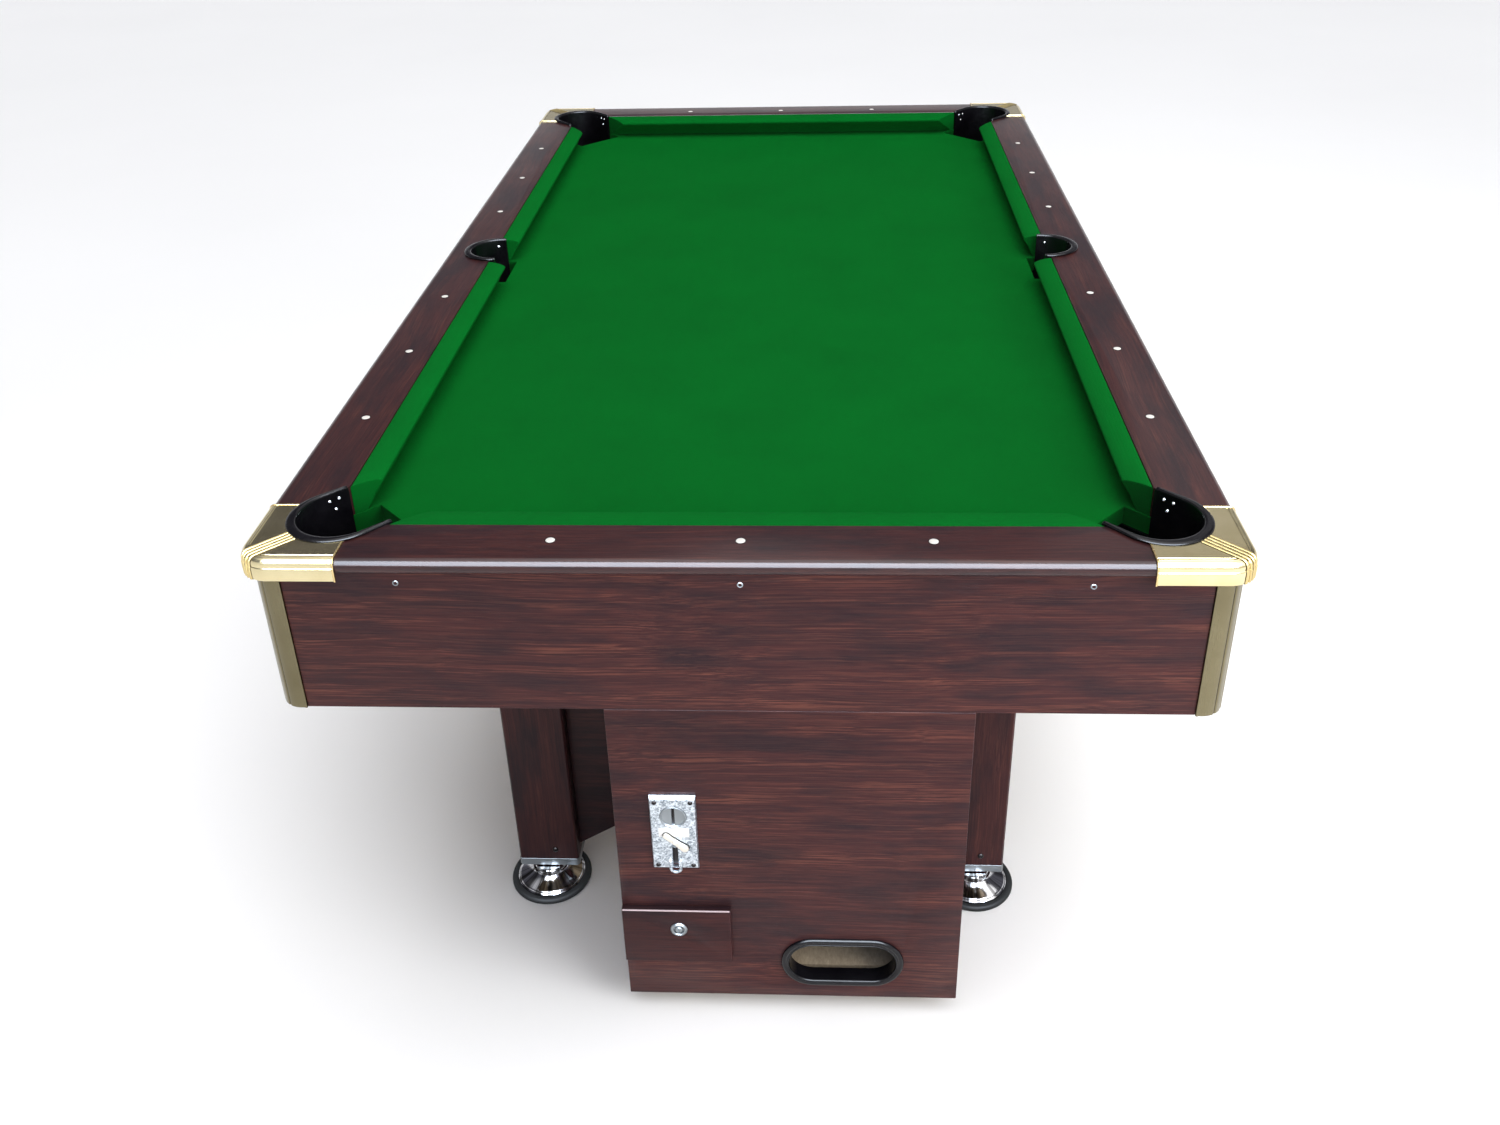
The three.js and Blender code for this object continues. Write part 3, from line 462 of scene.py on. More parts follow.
def loft(rings, looped=False):
    """A skin through rings of points. Its ends are closed, or joined to each other if it is looped."""
    bm = bmesh.new()
    loops = [[bm.verts.new(point) for point in ring] for ring in rings]
    pairs = list(zip(loops, loops[1:]))
    if looped:
        pairs.append((loops[-1], loops[0]))
    for one, two in pairs:
        for i in range(len(one)):
            j = (i + 1) % len(one)
            bm.faces.new((one[i], one[j], two[j], two[i]))
    if not looped:
        bm.faces.new(loops[0])
        bm.faces.new(loops[-1])
    return bm


def prism(outline, axis, start, end):
    """An outline in the two directions that aren't the axis, between two places along it."""
    i = "XYZ".index(axis)
    return loft([[(*point[:i], along, *point[i:]) for point in outline] for along in (start, end)])


def lathe(profile, place, axis=(0, 0, 1), sides=ROUND_SIDES, looped=False):
    """A profile of radius and height, turned round an axis through a place. A looped one makes a ring."""
    turn = Vector((0, 0, 1)).rotation_difference(Vector(axis)).to_matrix()
    rings = []
    for radius, height in profile:
        circle = arc(0, 0, radius, 0, 360, sides)[:sides]
        rings.append([Vector(place) + turn @ Vector((x, y, height)) for x, y in circle])
    return loft(rings, looped)


def swept(path, normals, section):
    """A section of width and height, carried along a path whose upward direction at each point is given."""
    rings = []
    for i, (point, normal) in enumerate(zip(path, normals)):
        tangent = (path[min(i + 1, len(path) - 1)] - path[max(i - 1, 0)]).normalized()
        sideways = tangent.cross(normal).normalized()
        rings.append([point + sideways * w + normal * h for w, h in section])
    return loft(rings)


def mesh_of(bm, name="solid"):
    """A bmesh as a mesh. The bmesh is used up."""
    mesh = bpy.data.meshes.new(name)
    bm.to_mesh(mesh)
    bm.free()
    return mesh


def together(parts):
    """Several bmeshes as one."""
    whole = bmesh.new()
    for part in parts:
        mesh = mesh_of(part)
        whole.from_mesh(mesh)
        bpy.data.meshes.remove(mesh)
    return whole


def tidied(bm):
    bmesh.ops.remove_doubles(bm, verts=bm.verts, dist=WELD)
    bmesh.ops.recalc_face_normals(bm, faces=bm.faces)
    return bm


def added(name, data):
    """A new object in the scene."""
    item = bpy.data.objects.new(name, data)
    bpy.context.scene.collection.objects.link(item)
    return item


def make(name, bm, material, body="table", slot=None, angle=35, edge=0.0):
    """Turns a bmesh into a piece that rides on a body. Its edges over angle are sharp, or if edge is given,
    rounded to that radius."""
    mesh = mesh_of(tidied(bm), name)
    mesh.materials.append(material)
    piece = added(name, mesh)
    mesh.shade_smooth()
    if edge:
        change = piece.modifiers.new("edges", "BEVEL")
        change.width = edge
        change.segments = 3
        change.limit_method = "ANGLE"
        change.angle_limit = math.radians(angle)
        change.harden_normals = True
    else:
        mesh.set_sharp_from_angle(angle=math.radians(angle))
    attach(piece, body)
    return piece


def stand_in(node, suffix, bm, material, **settings):
    """A piece that is shown instead of a CAD node."""
    piece = make(f"{node}_{suffix}", bm, material, **settings)
    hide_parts(node)
    return piece


def carve(bm, *cutters):
    """Cuts solids out of another and gives back what is left."""
    solid, tool = (added("solid", mesh_of(tidied(part))) for part in (bm, together(cutters)))
    change = solid.modifiers.new("cut", "BOOLEAN")
    change.object = tool
    change.operation = "DIFFERENCE"
    change.solver = "EXACT"
    change.use_self = True
    evaluated = solid.evaluated_get(bpy.context.evaluated_depsgraph_get())
    left = bmesh.new()
    left.from_mesh(evaluated.data)
    for item in (solid, tool):
        bpy.data.objects.remove(item)
    return left


def refined(node, material, edge=WOOD_EDGE, body="table"):
    """A laminated board with the shape of its CAD node, in whole flat faces and with its edges rounded."""
    bm = bmesh.new()
    bm.from_mesh(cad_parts[node].data)
    bmesh.ops.remove_doubles(bm, verts=bm.verts, dist=WELD)
    bmesh.ops.dissolve_limit(bm, angle_limit=math.radians(1), verts=bm.verts, edges=bm.edges)
    stand_in(node, "shown", bm, material, body=body, slot="wood_laminate", edge=edge)


# ---------------------------------------------------------------- bed and cloth

CLOTH_THICK = 0.0012


def pocket_outline(pocket, radius, arm):
    """The plan of a pocket at some radius, as far in as arm."""
    return pocket.plan([(-arm, -radius), *arc(0, 0, radius, -90, 90, steps=32), (-arm, radius)])


def pocket_tool(pocket, radius, arm, bottom, top):
    return prism(pocket_outline(pocket, radius, arm), "Z", bottom, top)


def polygon_area(points):
    pairs = zip(points, points[1:] + points[:1])
    return abs(sum(a[0] * b[1] - b[0] * a[1] for a, b in pairs)) / 2


def build_cloth():
    """The cloth lies flat on the bed and is folded down over the bed's edge at each pocket."""
    corner = high("bed_cloth")
    outline = oblong(-corner.x, -corner.y, corner.x, corner.y)
    levels = (CLOTH_TOP - PAST, CLOTH_TOP + PAST)
    holes = []
    lips = []
    area = polygon_area(outline)
    for pocket in POCKETS:
        mouth = pocket.room - CLOTH_THICK - GAP
        edge = -pocket.arm + CLOTH_THICK + GAP
        inner = oblong(GAP - pocket.wall_arm, -mouth, edge, mouth)
        holes.append(pocket_tool(pocket, pocket.room, pocket.wall_arm, *levels))
        holes.append(prism(pocket.plan(inner), "Z", *levels))
        area -= polygon_area(pocket_outline(pocket, pocket.room, pocket.arm))
        lips.append(cloth_lip(pocket, mouth, edge))
    sheet = carve(prism(outline, "Z", CLOTH_TOP - CLOTH_THICK, CLOTH_TOP), *holes)
    cloth = stand_in("bed_cloth", "sheet", sheet, CLOTH, slot="cloth", edge=0.0005)
    lip = make("bed_cloth_lips", together(lips), CLOTH, slot="cloth", edge=0.0004)


def cloth_lip(pocket, mouth, edge):
    """The strip of cloth that is folded down over the bed's edge, round three sides of a pocket's mouth."""
    start = -pocket.wall_arm - GAP
    shown = oblong(start, -mouth, edge, mouth)
    hidden = oblong(start, -mouth - CLOTH_THICK, edge - CLOTH_THICK, mouth + CLOTH_THICK)
    return prism(pocket.plan(shown + hidden[::-1]), "Z", BED_UNDER, CLOTH_TOP - CLOTH_THICK)


# ---------------------------------------------------------------- rails, sights and cushions


def rail_section(inner, outer):
    """Section of a rail: a board with a round outer edge, on the strip that the cushion is fixed to."""
    radius = (RAIL_TOP - RAIL_UNDER) / 2
    foot = CLOTH_TOP + GAP
    strip = 0.046
    edge = 0.001
    return [
        (inner, foot), (inner + strip, foot), (inner + strip, RAIL_UNDER),
        *arc(outer - radius, RAIL_UNDER + radius, radius, -90, 90, steps=20),
        *arc(inner + edge, RAIL_TOP - edge, edge, 90, 180, steps=3),
    ]


def build_rails():
    rails = [(name, sign, "X", WOOD_Y, HALF_LENGTH) for name, sign in ENDS.items()]
    rails += [(name, sign, "Y", WOOD_X, HALF_WIDTH) for name, sign in SIDES.items()]
    for name, sign, axis, inner, outer in rails:
        node = f"rail_{name}"
        end = high(node)["XYZ".index(axis)]
        rail = prism(mirrored(rail_section(inner, outer), (sign, 1)), axis, -end, end)
        rooms = [
            pocket_tool(pocket, pocket.room, ROOM_ARM, BED_UNDER - PAST, FLANGE_TOP + PAST)
            for pocket in POCKETS
        ]
        stand_in(node, "board", carve(rail, *rooms), RAIL_WOOD[axis], slot="wood_laminate")


def build_sights():
    """White discs with a dark rim, three on each half of a long rail and three on a short one."""
    long_x = WOOD_X + SIGHT_ON_LONG
    short_y = WOOD_Y + SIGHT_ON_SHORT
    places = [(x, i * SIGHT_STEP, RAIL_TOP) for x in (-long_x, long_x) for i in (-3, -2, -1, 1, 2, 3)]
    places += [(i * SIGHT_STEP, y, RAIL_TOP) for y in (-short_y, short_y) for i in (-1, 0, 1)]
    r = SIGHT_RADIUS
    disc = [(0, -0.001), (r, -0.001), (r, 0.0002), (r * 0.9, 0.0005), (r * 0.5, 0.0007), (0, 0.0008)]
    rim = [(r, -0.001), (r + 0.0009, -0.001), (r + 0.0009, 0.0003), (r + 0.0004, 0.0005), (r, 0.0002)]
    discs = [lathe(disc, place, sides=RING_SIDES) for place in places]
    rims = [lathe(rim, place, sides=RING_SIDES, looped=True) for place in places]
    make("rail_sights", together(discs), WHITE_PLASTIC)
    make("rail_sight_rims", together(rims), BLACK)


NOSE_RADIUS = 0.0036
NOSE_DROP = 0.0103  # from the rail's top to the middle of the nose
CUSHION_FOOT = 0.014
CUSHION_STEPS = 24
CUSHION_END_RADIUS = 0.0055
CUSHION_BACK = 0.004  # its ends stay sharp this close to the wood
SIDE_SLANT = 0.006  # how far an end at a side pocket slants over the cushion's width


def cushion_section(reach):
    """Section of a cushion: distance from the rail's wood and height."""
    foot = CLOTH_TOP + GAP
    top = RAIL_TOP - 0.0008
    nose = RAIL_TOP - NOSE_DROP
    back = 0.0006
    tuck = 0.0022
    return [
        (back, foot), (back, top - 0.004), *arc(back + tuck, top - tuck, tuck, 160, 95, steps=4),
        (reach * 0.35, top - 0.0006), (reach * 0.65, top - 0.0026), (reach * 0.85, top - 0.0046),
        *arc(reach - NOSE_RADIUS, nose, NOSE_RADIUS, 75, -55, steps=8),
        (reach * 0.72, nose - 0.014), (CUSHION_FOOT + 0.004, foot + 0.006), (CUSHION_FOOT, foot),
    ]


def cushion(name, reach, ends, place):
    """A cushion between two slanted ends. ends gives where each end is along the rail for a distance
    from the wood, and place puts a distance from the wood, a distance along it and a height in the frame."""
    section = cushion_section(reach)
    rings = []
    for i in range(CUSHION_STEPS + 1):
        ring = []
        for depth, z in section:
            start, end = (at(depth) for at in ends)
            ring.append(place(depth, start + (end - start) * i / CUSHION_STEPS, z))
        rings.append(ring)
    bm = tidied(loft(rings))
    foot = CLOTH_TOP + 2 * GAP
    wood = place(0, 0, 0)
    inwards = place(1, 0, 0) - wood
    edges = set()
    for cap in (face for face in bm.faces if len(face.verts) == len(section)):
        for edge in cap.edges:
            depth = max((v.co - wood).dot(inwards) for v in edge.verts)
            height = max(v.co.z for v in edge.verts)
            if depth > CUSHION_BACK and height > foot:
                edges.add(edge)
    bmesh.ops.bevel(
        bm, geom=list(edges), offset=CUSHION_END_RADIUS, segments=5, affect="EDGES", profile=0.5,
        clamp_overlap=True,
    )
    piece = stand_in(name, "cover", bm, CUSHION_CLOTH, slot="cloth", angle=50)


def build_cushions():
    reach_short = WOOD_Y - low("cushion_far").y
    reach_long = WOOD_X - low("cushion_right_far").x
    end_short = high("cushion_far").x
    side_wood, end_long = low("cushion_right_far").y, high("cushion_right_far").y
    for name, sign in ENDS.items():
        cushion(
            f"cushion_{name}", reach_short, (lambda d: -end_short + d, lambda d: end_short - d),
            lambda depth, along, z, s=sign: Vector((along, s * (WOOD_Y - depth), z)),
        )
    for side, sx in SIDES.items():
        for name, sy in ENDS.items():
            cushion(
                f"cushion_{side}_{name}", reach_long,
                (lambda d: side_wood + d * SIDE_SLANT / reach_long, lambda d: end_long - d),
                lambda depth, along, z, a=sx, b=sy: Vector((a * (WOOD_X - depth), b * along, z)),
            )


# ---------------------------------------------------------------- pocket liners


def flange_width(pocket, x, y):
    """How far the flange reaches out from the liner's inside, in a direction from the pocket's centre."""
    radius = pocket.radius + FLANGE_WIDTH
    return FLANGE_SHIFT * x + math.sqrt(radius**2 - (FLANGE_SHIFT * y) ** 2) - pocket.radius


def collar_section(width, bottom, drop):
    """Section of a liner's wall and flange: distance out from the liner's inside and height."""
    top = FLANGE_TOP - drop
    under = top - FLANGE_THICK
    outer = max(width, LINER_WALL + 0.0004)
    return [
        (0.0, bottom), (0.0, top - 0.0050), (0.0002, top - 0.0024), (0.0009, top - 0.0010),
        (0.0022, top - 0.0002), (outer * 0.45, top), (outer * 0.75, top - 0.0005),
        (outer - 0.0009, top - 0.0012), (outer - 0.0002, top - 0.0020), (outer, under + 0.0003),
        (outer - 0.0003, under), (LINER_WALL, under), (LINER_WALL, bottom),
    ]


def liner_stations(pocket):
    """Places round a liner's inside, each with its outward direction, the flange's width there and how
    far its top has dropped. The flange narrows and drops along the two arms that point to the bed."""
    side_width = flange_width(pocket, 0, 1)
    tail = [(0, 0.0045), (0.012, 0.0024), (0.035, 0.0010), (0.07, 0.0002)]
    tail += [(i / 6, 0.0) for i in range(1, 6)]

    def arm(side):
        return [
            ((-pocket.wall_arm * (1 - share), side * pocket.radius), (0, side),
             LINER_WALL + (side_width - LINER_WALL) * share, drop)
            for share, drop in tail
        ]

    bend = [
        ((x * pocket.radius, y * pocket.radius), (x, y), flange_width(pocket, x, y), 0.0)
        for x, y in arc(0, 0, 1, -90, 90, steps=36)
    ]
    return arm(-1) + bend + arm(1)[::-1]


def liner_collar(pocket):
    rings = []
    for (x, y), (ox, oy), width, drop in liner_stations(pocket):
        section = collar_section(width, BED_UNDER, drop)
        rings.append([pocket.place(x + ox * d, y + oy * d, z) for d, z in section])
    return loft(rings)


def liner_throat(pocket):
    """The closed chute under the bed, a little narrower at its foot and with a rolled lower edge."""
    levels = [
        (0.0, BED_UNDER - GAP), (0.0, LINER_BOTTOM + 0.010), (-0.0025, LINER_BOTTOM + 0.004),
        (-0.0025, LINER_BOTTOM), (LINER_WALL, LINER_BOTTOM), (LINER_WALL, BED_UNDER - GAP),
    ]
    rings = []
    for offset, z in levels:
        outline = pocket_outline(pocket, pocket.radius + offset, pocket.arm + offset)
        rings.append([(*point, z) for point in outline])
    return loft(rings, looped=True)


def screw(place, axis, radius, sides=SMALL_SIDES):
    """A domed screw head with a small recess."""
    height = radius * 0.45
    shares = ((0, 0.3), (0.28, 0.35), (0.36, 1), (0.62, 0.92), (0.88, 0.5), (1, 0), (1, -1), (0, -1))
    return lathe([(radius * out, height * up) for out, up in shares], place, axis, sides)


LINER_SCREW_RADIUS = 0.0024
CORNER_LINER_SCREWS = ((-0.025, -0.0135), (-0.011, -0.0135), (-0.018, -0.028))
SIDE_LINER_SCREWS = ((0.012, -0.016),)


def liner_screws(pocket):
    """Screws through the liner's side walls, each given by its place outwards and its drop from the top."""
    found = []
    for out, drop in CORNER_LINER_SCREWS if pocket.corner else SIDE_LINER_SCREWS:
        z = FLANGE_TOP + drop
        centre = pocket.place(min(out, 0), 0, z)
        depth = math.sqrt(pocket.radius**2 - max(out, 0) ** 2)
        for side in (-1, 1):
            at = pocket.place(out, side * depth, z)
            found.append(screw(at, (centre - at).normalized(), LINER_SCREW_RADIUS, TINY_SIDES))
    return found


def build_liners():
    for pocket in POCKETS:
        node = f"pocket_liner_{pocket.name}"
        stand_in(node, "moulding", liner_collar(pocket), BLACK, slot="black_plastic", angle=40)
        make(f"{node}_chute", liner_throat(pocket), BLACK, slot="black_plastic", angle=40)
        make(f"{node}_screws", together(liner_screws(pocket)), CHROME, slot="chrome")


# ---------------------------------------------------------------- corner castings

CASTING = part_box("corner_casting_far_right")
CASTING_TOP = CASTING[1].z
CASTING_BOTTOM = CASTING[0].z
CASTING_RADIUS = 0.042
CASTING_FLAT = 0.016  # the flat top ends this far in from the outer face
CASTING_THICK = 0.004
RIB_COUNT = 4
RIB_PITCH = 0.0064
RIB_HALF = 0.0021
RIB_HEIGHT = 0.0011
BEAD_HALF = 0.0012


def shoulder(rise, steps):
    """The round upper edge of a casting: distance in from the outer face, and height."""
    return [(0.009 - 0.0078 * y, CASTING_TOP - 0.009 + rise * x) for x, y in arc(0, 0, 1, 0, 90, steps)]


def casting_profile():
    """Section of a casting, from the flat top over the shoulder and skirt to the underside of the top:
    distance in from the outer face, and height."""
    top = CASTING_TOP
    bottom = CASTING_BOTTOM
    return [
        (CASTING_FLAT, top), (0.0146, top), (0.0140, top - 0.0006), (0.0128, top - 0.0006),
        (0.0121, top), (0.0110, top + 0.0002), (0.0098, top), *shoulder(0.0086, 9),
        (0.0012, top - 0.0122), (0.0004, top - 0.0130), (0.0, top - 0.0142), (0.0, bottom + 0.0030),
        (0.0004, bottom + 0.0010), (0.0014, bottom), (0.0030, bottom), (0.0040, bottom + 0.001),
        (0.0040, top - 0.012), (0.008, top - 0.006), (CASTING_FLAT, top - CASTING_THICK),
    ]


def casting_stations():
    """Places round a casting's outer face from its end on the short rail to its end on the long rail,
    each with its inward direction."""
    x1, y1 = CASTING[1].x, CASTING[1].y
    found = [((CASTING[0].x, y1), (0, -1))]
    for x, y in arc(0, 0, 1, 90, 0, steps=20):
        found.append(((x1 + CASTING_RADIUS * (x - 1), y1 + CASTING_RADIUS * (y - 1)), (-x, -y)))
    found.append(((x1, CASTING[0].y), (-1, 0)))
    return found


def casting_mesh(pocket):
    """A thin shell: a flat top with the pocket cut out of it, and a skirt swept round its outer side."""
    bm = bmesh.new()

    def vertex(x, y, z):
        return bm.verts.new((x * pocket.sign[0], y * pocket.sign[1], z))

    def skin(one, two):
        for i in range(len(one) - 1):
            bm.faces.new((one[i], one[i + 1], two[i + 1], two[i]))

    rows = [
        [vertex(x + nx * d, y + ny * d, z) for d, z in casting_profile()]
        for (x, y), (nx, ny) in casting_stations()
    ]
    for one, two in zip(rows, rows[1:]):
        skin(one, two)

    centre = pocket.centre
    from_x = CASTING[0].x - centre.x
    from_y = CASTING[0].y - centre.y
    start = math.degrees(math.atan2(from_y, math.sqrt(pocket.room**2 - from_y**2)))
    end = math.degrees(math.atan2(math.sqrt(pocket.room**2 - from_x**2), from_x))
    cut = arc(centre.x, centre.y, pocket.room, start, end, steps=30)
    upper = [vertex(x, y, CASTING_TOP) for x, y in cut]
    under = [vertex(x, y, CASTING_TOP - CASTING_THICK) for x, y in cut]
    skin(upper, under)
    bm.faces.new([row[0] for row in rows] + upper)
    bm.faces.new([row[-1] for row in rows] + under)
    bm.faces.new(rows[0] + [under[-1], upper[-1]])
    bm.faces.new(rows[-1] + [under[0], upper[0]])
    return bm


def outer_path(inner_end):
    """The line over a casting's outside, from a distance in from its face down to the skirt's foot:
    distance in and height, with the outward direction at each point."""
    top = CASTING_TOP
    bottom = CASTING_BOTTOM
    line = [(inner_end, top), (0.026, top), (CASTING_FLAT, top), *shoulder(0.0088, 10)]
    line += [(0.0008, top - 0.0125), (0.0, top - 0.0145), (0.0, bottom + 0.008), (0.0002, bottom + 0.0005)]
    directions = []
    for i in range(len(line)):
        one, two = line[max(i - 1, 0)], line[min(i + 1, len(line) - 1)]
        inwards, up = two[0] - one[0], two[1] - one[1]
        length = math.hypot(inwards, up)
        directions.append((up / length, -inwards / length))
    return line, directions


def rib_sections():
    """Widths and heights across each rib at a casting's corner."""
    found = []
    for k in range(RIB_COUNT):
        middle = (k - (RIB_COUNT - 1) / 2) * RIB_PITCH
        found.append([
            (middle + share * RIB_HALF, RIB_HEIGHT * (1 - abs(share) ** 6) + 0.0002)
            for share in (-1.0, -0.9, -0.7, -0.4, 0.0, 0.4, 0.7, 0.9, 1.0)
        ])
    return found


def rib_mesh(pocket, sections):
    """Strips of those sections, from the pocket over the rounded corner and down the skirt."""
    centre = Vector((CASTING[1].x - CASTING_RADIUS, CASTING[1].y - CASTING_RADIUS))
    flange_edge = (pocket.centre - centre).length - pocket.radius - FLANGE_WIDTH - FLANGE_SHIFT - GAP
    line, directions = outer_path(CASTING_RADIUS + flange_edge)
    out = Vector((DIAGONAL, DIAGONAL))
    across = Vector((-DIAGONAL, DIAGONAL))

    def place(inwards, z, turn_in, turn_up, side, height):
        reach = CASTING_RADIUS - inwards
        if reach <= CASTING_RADIUS - CASTING_FLAT:
            lead, outward = reach, out
        else:
            lead = math.sqrt(reach**2 - side**2)
            outward = out * (lead / reach) + across * (side / reach)
        flat = centre + out * lead + across * side - outward * (turn_in * height)
        return Vector((flat.x * pocket.sign[0], flat.y * pocket.sign[1], z + turn_up * height))

    strips = []
    for section in sections:
        lower = [(side, -0.0008) for side, _ in section[::-1]]
        strips.append(loft([
            [place(*point, *direction, side, height) for side, height in section + lower]
            for point, direction in zip(line, directions)
        ]))
    return together(strips)


def end_bead(pocket, along_x):
    """A bright bead along one end of a casting, from the flange over the shoulder to the skirt's foot."""
    sign = pocket.sign
    line, directions = outer_path(0.044)
    path = []
    normals = []
    for (inwards, z), (turn_in, turn_up) in zip(line, directions):
        if along_x:
            x, y = CASTING[0].x + BEAD_HALF, CASTING[1].y - inwards
            normal = (0, -turn_in * sign[1], turn_up)
        else:
            x, y = CASTING[1].x - inwards, CASTING[0].y + BEAD_HALF
            normal = (-turn_in * sign[0], 0, turn_up)
        path.append(Vector((x * sign[0], y * sign[1], z)))
        normals.append(Vector(normal))
    half = BEAD_HALF
    section = [
        (-half, -0.0006), (-half, 0.0003), (-half * 0.6, 0.0008), (0, 0.0010),
        (half * 0.6, 0.0008), (half, 0.0003), (half, -0.0006),
    ]
    return swept(path, normals, section)


def build_castings():
    half = RIB_COUNT * RIB_PITCH / 2
    groove_floor = [(-half, 0.0002), (0, 0.0003), (half, 0.0002)]
    for pocket in POCKETS:
        if not pocket.corner:
            continue
        node = f"corner_casting_{pocket.name}"
        stand_in(node, "shell", casting_mesh(pocket), BRASS, slot="brass_casting", angle=32)
        for name, bm, material in (
            ("ribs", rib_mesh(pocket, rib_sections()), RIB_GOLD),
            # A dark strip under the ribs that shows between them: painted shade in the grooves.
            ("grooves", rib_mesh(pocket, [groove_floor]), GROOVE_PAINTED_SHADE),
            ("beads", together([end_bead(pocket, True), end_bead(pocket, False)]), BRIGHT_BRASS),
        ):
            make(f"{node}_{name}", bm, material, slot="brass_casting", angle=60)


# ---------------------------------------------------------------- aprons and corner trims

BOARD_THICK = 0.018
TRIM_RADIUS = 0.032
TRIM_ARM = 0.040
TRIM_X = high("corner_trim_far_right").x
TRIM_Y = APRON_Y + TRIM_X - APRON_X
TRIM_BEAD = 0.0016  # half the width of the bead at each end
TRIM_BEAD_RISE = 0.0009
TRIM_GROOVES = (32, 58)  # where they are round the bend, in degrees
TRIM_GROOVE_WIDTH = 1.9  # also in degrees
TRIM_GROOVE_DEPTH = 0.0018
APRON_SCREW_X = 0.437
APRON_SCREW_DROP = 0.019


def trim_outline():
    """Plan of a corner trim: a round corner with two grooves, and a bead where it meets each board."""
    cx, cy = TRIM_X - TRIM_RADIUS, TRIM_Y - TRIM_RADIUS
    run = TRIM_ARM - TRIM_RADIUS

    def relief(along):
        rise = 1 - ((along - run + TRIM_BEAD) / TRIM_BEAD) ** 2
        return TRIM_BEAD_RISE * math.sqrt(rise) if rise > 0 else 0.0

    flats = [run * i / 40 for i in range(41)]
    arm_y = [(TRIM_X + relief(t), cy - t) for t in flats[::-1]]
    arm_x = [(cx - t, TRIM_Y + relief(t)) for t in flats]
    bend = []
    for degree in range(1, 90):
        groove = sum(math.exp(-(((degree - at) / TRIM_GROOVE_WIDTH) ** 2)) for at in TRIM_GROOVES)
        radius = TRIM_RADIUS - TRIM_GROOVE_DEPTH * groove
        angle = math.radians(degree)
        bend.append((cx + radius * math.cos(angle), cy + radius * math.sin(angle)))
    inner_x, inner_y = APRON_X - BOARD_THICK, APRON_Y - BOARD_THICK
    inside = [(TRIM_X - TRIM_ARM, inner_y), (inner_x, inner_y), (inner_x, TRIM_Y - TRIM_ARM)]
    return arm_y + bend + arm_x + inside


def trim_line(at):
    """Plan of the dark line at the bottom of a trim's groove, which is painted shade."""
    centre = (TRIM_X - TRIM_RADIUS, TRIM_Y - TRIM_RADIUS)
    outer = TRIM_RADIUS - TRIM_GROOVE_DEPTH * 0.55
    inner = TRIM_RADIUS - TRIM_GROOVE_DEPTH - 0.001
    start, end = at - TRIM_GROOVE_WIDTH * 0.7, at + TRIM_GROOVE_WIDTH * 0.7
    return arc(*centre, outer, start, end, steps=4) + arc(*centre, inner, end, start, steps=4)


def build_trims():
    for name, sign in CORNERS.items():
        node = f"corner_trim_{name}"
        bottom, top = low(node).z, high(node).z
        bar = prism(mirrored(trim_outline(), sign), "Z", bottom, top)
        stand_in(node, "extrusion", bar, GOLD_TRIM, slot="gold_trim", angle=28)
        lines = together([prism(mirrored(trim_line(at), sign), "Z", bottom, top) for at in TRIM_GROOVES])
        # The dark lines in the trim's grooves are painted shade.
        make(f"{node}_grooves", lines, GROOVE_PAINTED_SHADE, slot="gold_trim")


def build_aprons():
    for name in ENDS:
        refined(f"apron_{name}", WOOD["X"])
    for name in SIDES:
        refined(f"apron_{name}", WOOD["Y"])
    rim = [(0.0022, -0.001), (0.0040, -0.001), (0.0040, 0.0002), (0.0033, 0.0008), (0.0024, 0.0006)]
    # A black disc set into each steel screw ring: painted shade in the screw's recess.
    painted_recess_shade = [(0, -0.001), (0.0025, -0.001), (0.0025, 0.0001), (0.001, -0.0002), (0, -0.0002)]
    rims = []
    holes = []
    for x in (-APRON_SCREW_X, 0, APRON_SCREW_X):
        for side in (-1, 1):
            place = (x, side * APRON_Y, RAIL_UNDER - APRON_SCREW_DROP)
            rims.append(lathe(rim, place, (0, side, 0), SMALL_SIDES, looped=True))
            holes.append(lathe(painted_recess_shade, place, (0, side, 0), SMALL_SIDES))
    make("apron_screws", together(rims), STEEL, slot="steel")
    make("apron_screw_painted_shade", together(holes), BLACK)


# ---------------------------------------------------------------- legs and levelling feet

LEG_CHAMFER = 0.003
SHOE_HEIGHT = 0.014
SHOE_THICK = 0.0009
SHOE_INSIDE = 0.0001  # clear of the leg by this much
LEG_SCREW_RISE = 0.020  # the screw sits this far above the shoe
LEG_SCREW_SHARE = 0.62  # and this far across the leg
LEG_SCREW_RADIUS = 0.0052


def leg_shoe(name):
    """A sheet steel cap round the foot of a leg."""
    corner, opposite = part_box(f"leg_{name}")

    def outline(out, rise):
        x0, y0, x1, y1 = corner.x - out, corner.y - out, opposite.x + out, opposite.y + out
        c = LEG_CHAMFER + out * 0.4
        points = [(x0 + c, y0), (x1 - c, y0), (x1, y0 + c), (x1, y1 - c)]
        points += [(x1 - c, y1), (x0 + c, y1), (x0, y1 - c), (x0, y0 + c)]
        return [(*point, corner.z + rise) for point in points]

    rings = [outline(SHOE_THICK, 0), outline(SHOE_THICK, SHOE_HEIGHT)]
    rings += [outline(SHOE_INSIDE, SHOE_HEIGHT), outline(SHOE_INSIDE, 0)]
    return loft(rings, looped=True)


